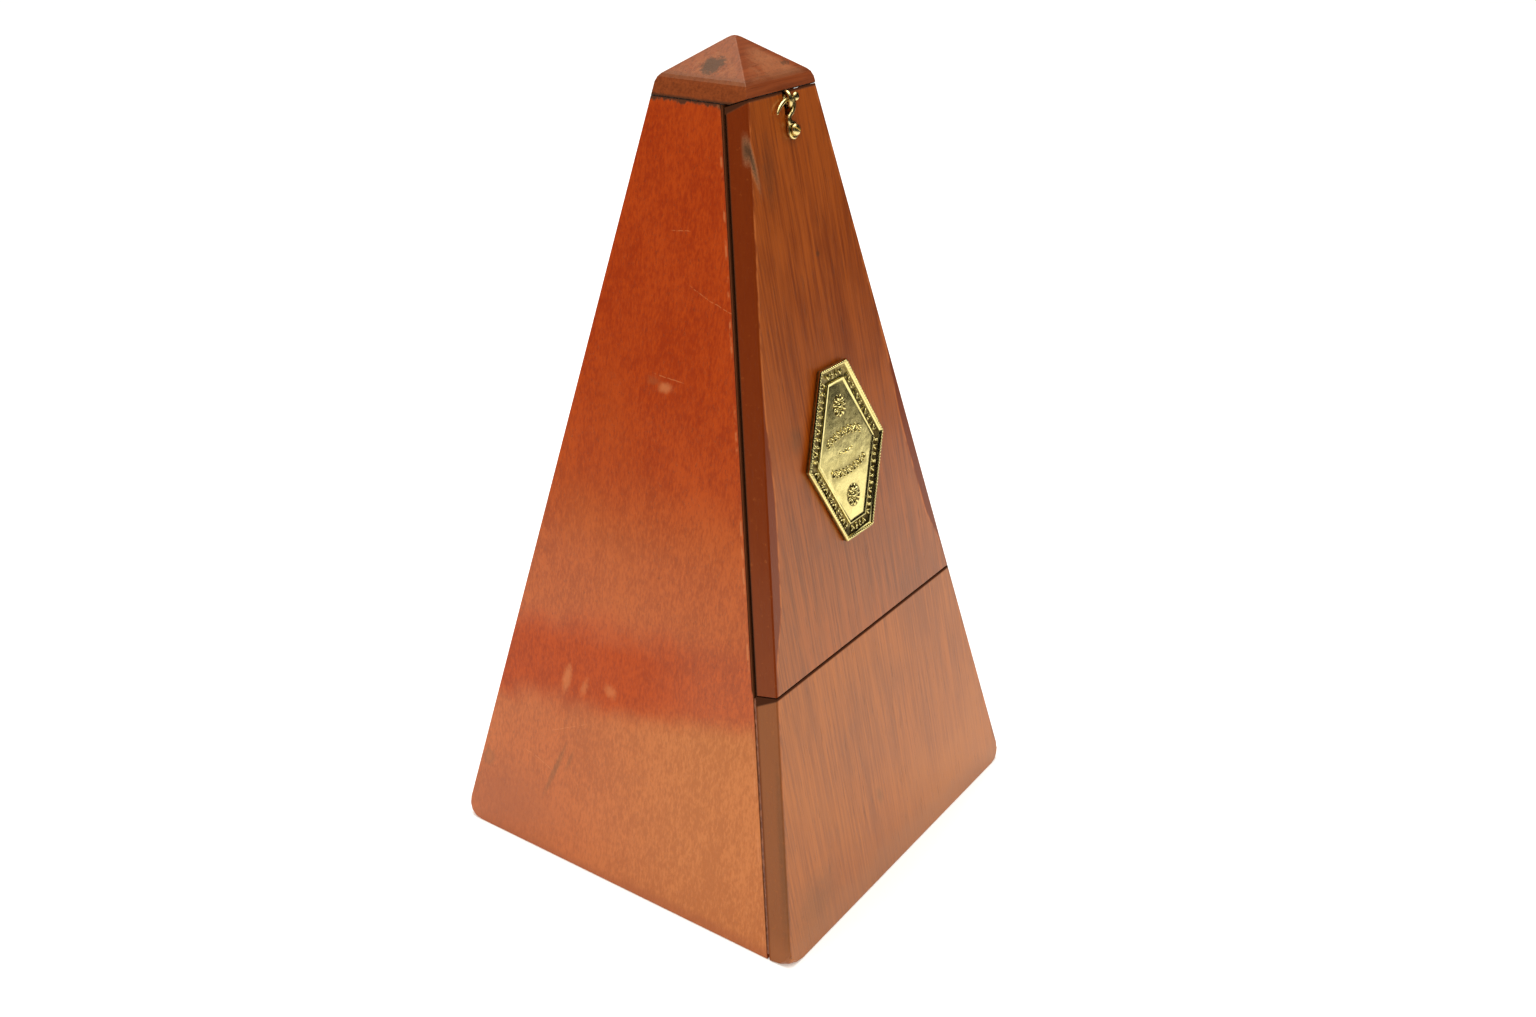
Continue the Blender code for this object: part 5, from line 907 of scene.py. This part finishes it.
def build_eye(low, high, up):
    """A closed ring of thick wire on a threaded stem, turned a little to the left."""
    across = (low[0] + high[0]) / 2
    wire = 0.00060
    radius = (high[1] - low[1]) / 2 - wire
    turn = Matrix.Rotation(math.radians(EYE_TURN), 3, "Y")
    middle = Vector((0.0, 0.0, EYE_OUT))
    bm = bmesh.new()
    rings = []
    for step in range(48):
        a = 2 * math.pi * step / 48
        outward = turn @ Vector((0.0, math.cos(a), math.sin(a)))
        flank = turn @ Vector((1.0, 0.0, 0.0))
        rings.append([middle + outward * (radius + wire * math.cos(b)) + flank * wire * math.sin(b)
                      for b in (2 * math.pi * part / 16 for part in range(16))])
    loft_round(bm, rings)
    start = middle + turn @ Vector((0.0, 0.0, -radius))
    stem = [start] + [(0.0, 0.0, height) for height in (start.z - 0.0012, (start.z + low[2]) / 2,
                                                         low[2] + 0.0004)]
    tube(bm, stem, [wire, wire, wire, 0.00055])
    to_face(bm, across, up)
    new_piece("latch_eye_ring", bm, latch_look, "case", "brass", "latch_eye")


def build_screw(centre, low, high):
    """A domed brass screw with a worn slot."""
    bm = bmesh.new()
    radius = 0.00155
    top = high[2]
    under = top - 0.00125
    rim = under + 0.00012
    profile = [(0.0010, low[2]), (0.0010, under), (radius * 0.97, under), (radius, rim)]
    for step in range(1, 10):
        tilt = math.pi / 2 * step / 10
        profile.append((radius * math.cos(tilt) ** 0.8, rim + (top - rim) * math.sin(tilt)))
    loft(bm, [circle(*entry) for entry in profile])
    bmesh.ops.recalc_face_normals(bm, faces=bm.faces)
    body = add_object("screw_body", bm)
    bm = bmesh.new()
    bmesh.ops.create_cube(bm, size=1.0)
    bmesh.ops.scale(bm, vec=(4 * radius, 0.00045, 0.00100), verts=bm.verts)
    bmesh.ops.rotate(bm, matrix=Matrix.Rotation(math.radians(-35.0), 3, "Z"), verts=bm.verts)
    bmesh.ops.translate(bm, vec=(0.0, 0.0, top), verts=bm.verts)
    cutter = add_object("slot_tool", bm)
    cut = body.modifiers.new("Slot", "BOOLEAN")
    cut.object = cutter
    cut.solver = "EXACT"
    bpy.context.view_layer.update()
    done = bmesh.new()
    done.from_object(body, bpy.context.evaluated_depsgraph_get())
    for item in (body, cutter):
        bpy.data.objects.remove(item, do_unlink=True)
    to_face(done, centre[0], centre[1])
    new_piece("latch_screw_head", done, latch_look, "door", "brass", "latch_screw")


# ---------------------------------------------------------------- old dirt, painted shade and varnish in the joints
def dirt_and_shade_look():
    """Dark wax and dust with paler dry crumbs; dark enough to also stand for the shade in the gaps."""
    g = Graph("gap_dirt_and_shade")
    crumbs = g.noise(g.coords, 1600.0, 4.0, 0.7)
    colour = g.mix(g.step(crumbs, 0.52, 0.68), rgb(0.030, 0.013, 0.007), rgb(0.16, 0.085, 0.050))
    return g.finish(Base_Color=colour, Roughness=0.95, Normal=g.bump(crumbs, 0.0002, 0.6))


def build_dirt_and_shade_beads():
    """Ragged beads in the fine gaps between the cap and the side and back panels, and over the door: partly dirt,
    partly a dark fill that stands for the shade in the gaps.

    Those over the door hang from the cap and stay clear of the door's top.
    """
    level = (SIDE_TOP + CAP_LOW.z) / 2
    wide = BASE_HALF_WIDTH - level * TAPER_X
    deep = BASE_HALF_DEPTH - level * TAPER_Y
    bm = bmesh.new()
    for start, end, outward in (((-wide, -deep + 0.0070), (-wide, deep), (-1, 0)),
                                ((wide, -deep + 0.0070), (wide, deep), (1, 0)),
                                ((-wide, deep), (wide, deep), (0, 1))):
        lumpy_bead(bm, Vector((*start, level)), Vector((*end, level)), Vector((*outward, 0.0)), 0.00024)
    # dark beads over the door, which stand for the shade in the gap under the cap
    half = BASE_HALF_WIDTH - DOOR_HIGH[1] * UP.z * TAPER_X - 0.0002
    lumpy_bead(bm, over_door(-half, 0.0), over_door(half, 0.0), OUT, 0.00013)
    for side in (-1, 1):
        inner, outer = over_door(side * half, -0.0060), over_door(side * half, -0.0002)
        lumpy_bead(bm, inner, outer, Vector((side, 0.0, 0.0)), 0.00013, 30)
    new_piece("gap_dirt_and_shade", bm, dirt_and_shade_look(), "case", "front_wood")


def over_door(across, out):
    """A place in the gap between the cap and the door's top edge, which falls inwards."""
    return on_face(across, DOOR_HIGH[1] + 0.00020 + out * 0.15, out)


def build_joint_varnish():
    """Old varnish that fills the glued joints between the lower front panel and the sides."""
    g = Graph("joint_varnish")
    uneven = g.noise(g.coords, 500.0, 4.0, 0.6)
    colour = g.mix(g.step(uneven, 0.40, 0.62), rgb(0.15, 0.040, 0.012), rgb(0.27, 0.085, 0.028))
    look = g.finish(Base_Color=colour, Roughness=0.55, Normal=g.bump(uneven, 0.0001, 0.4))
    gap = -SEAM * UP.z, LOWER_LOW[2]
    out = (gap[0] + gap[1]) / 2
    bm = bmesh.new()
    for side in (-1, 1):
        ends = []
        for up in (0.0030, LOWER_HIGH[1] - 0.0006):
            height = on_face(0.0, up, out).z
            ends.append(on_face(side * (BASE_HALF_WIDTH - height * TAPER_X), up, out))
        lumpy_bead(bm, *ends, Vector((side, 0.0, 0.0)), (gap[1] - gap[0]) / 2 + 0.0001, lift=OUT)
    new_piece("joint_varnish", bm, look, "case", "front_wood")


def lumpy_bead(bm, start, end, outward, half_height, steps=150, sides=8, lift=Vector((0.0, 0.0, 1.0))):
    """A lumpy bar from start to end. outward points out of the joint, and lift across it."""
    rings = []
    for step in range(steps + 1):
        lump = noise.noise(Vector((step * 0.41, start.x * 300.0, start.y * 300.0)))
        rise = half_height * (1.0 + 0.35 * lump)
        reach = 0.00040 + 0.00016 * lump
        middle = start.lerp(end, step / steps) - outward * 0.00045
        rings.append([middle + outward * reach * math.cos(a) + lift * rise * math.sin(a)
                      for a in (2 * math.pi * side / sides for side in range(sides))])
    loft(bm, rings)


build_nameplate()
build_latch()
build_dirt_and_shade_beads()
build_joint_varnish()


# ---------------------------------------------------------------- stage
def stage_material(name, colour, glow=0.0):
    material = bpy.data.materials.new(name)
    material.use_nodes = True
    shader = material.node_tree.nodes["Principled BSDF"]
    shader.inputs["Base Color"].default_value = colour
    shader.inputs["Roughness"].default_value = 0.9
    shader.inputs["Specular IOR Level"].default_value = 0.1
    shader.inputs["Emission Color"].default_value = rgb(1.0, 0.93, 0.82)
    shader.inputs["Emission Strength"].default_value = glow
    return material


def stage_mesh(name, points, faces, material):
    mesh = bpy.data.meshes.new(name)
    mesh.from_pydata(points, [], faces)
    item = bpy.data.objects.new(name, mesh)
    mesh.materials.append(material)
    bpy.context.scene.collection.objects.link(item)
    return item


def only_reflections(item):
    """A studio card that shows only in reflections."""
    for kind in ("camera", "diffuse", "shadow", "transmission", "volume_scatter"):
        setattr(item, "visible_" + kind, False)


def disc(radius, height, steps=96):
    turn = [2 * math.pi * step / steps for step in range(steps)]
    return [(radius * math.cos(a), radius * math.sin(a), height) for a in turn], [tuple(range(steps))]


def round_wall(radius, height, steps=24):
    points, faces = [], []
    for step in range(steps):
        angle = 2 * math.pi * step / steps
        for level in (0.0, height):
            points.append((radius * math.cos(angle), radius * math.sin(angle), level))
        a, b = 2 * step, 2 * ((step + 1) % steps)
        faces.append((a, b, b + 1, a + 1))
    return points, faces


points, faces = disc(9.0, -0.0002)
stage_mesh("floor", points, faces, stage_material("floor_paper", rgb(0.88, 0.87, 0.85), 0.22))

points, faces = round_wall(0.75, 1.1)
black_cloth = stage_material("black_cloth", rgb(0.004, 0.003, 0.003))
only_reflections(stage_mesh("dark_surround", points, faces, black_cloth))


light = bpy.data.lights.new("overhead", "AREA")
light.shape = "SQUARE"
light.size = 1.4
light.energy = 26.0
lamp = bpy.data.objects.new("overhead", light)
lamp.location = (0.2, 0.3, 1.7)
lamp.rotation_euler = (Vector((0.0, 0.0, 0.1)) - lamp.location).to_track_quat("-Z", "Y").to_euler()
bpy.context.scene.collection.objects.link(lamp)
world = bpy.data.worlds.new("studio")
world.use_nodes = True
world.node_tree.nodes["Background"].inputs["Color"].default_value = rgb(1.0, 0.985, 0.96)
world.node_tree.nodes["Background"].inputs["Strength"].default_value = 0.86
bpy.context.scene.world = world
bpy.context.scene.view_settings.view_transform = "Standard"

camera_data = bpy.data.cameras.new("camera")
camera_data.sensor_width = 36.0
camera_data.lens = 35.18
camera_data.clip_start = 0.01
camera = bpy.data.objects.new("camera", camera_data)
camera.location = (-0.3119, -0.2282, 0.2789)
camera.rotation_euler = (math.radians(90.0 - 25.49), 0.0, math.radians(-55.04))
bpy.context.scene.collection.objects.link(camera)
bpy.context.scene.camera = camera
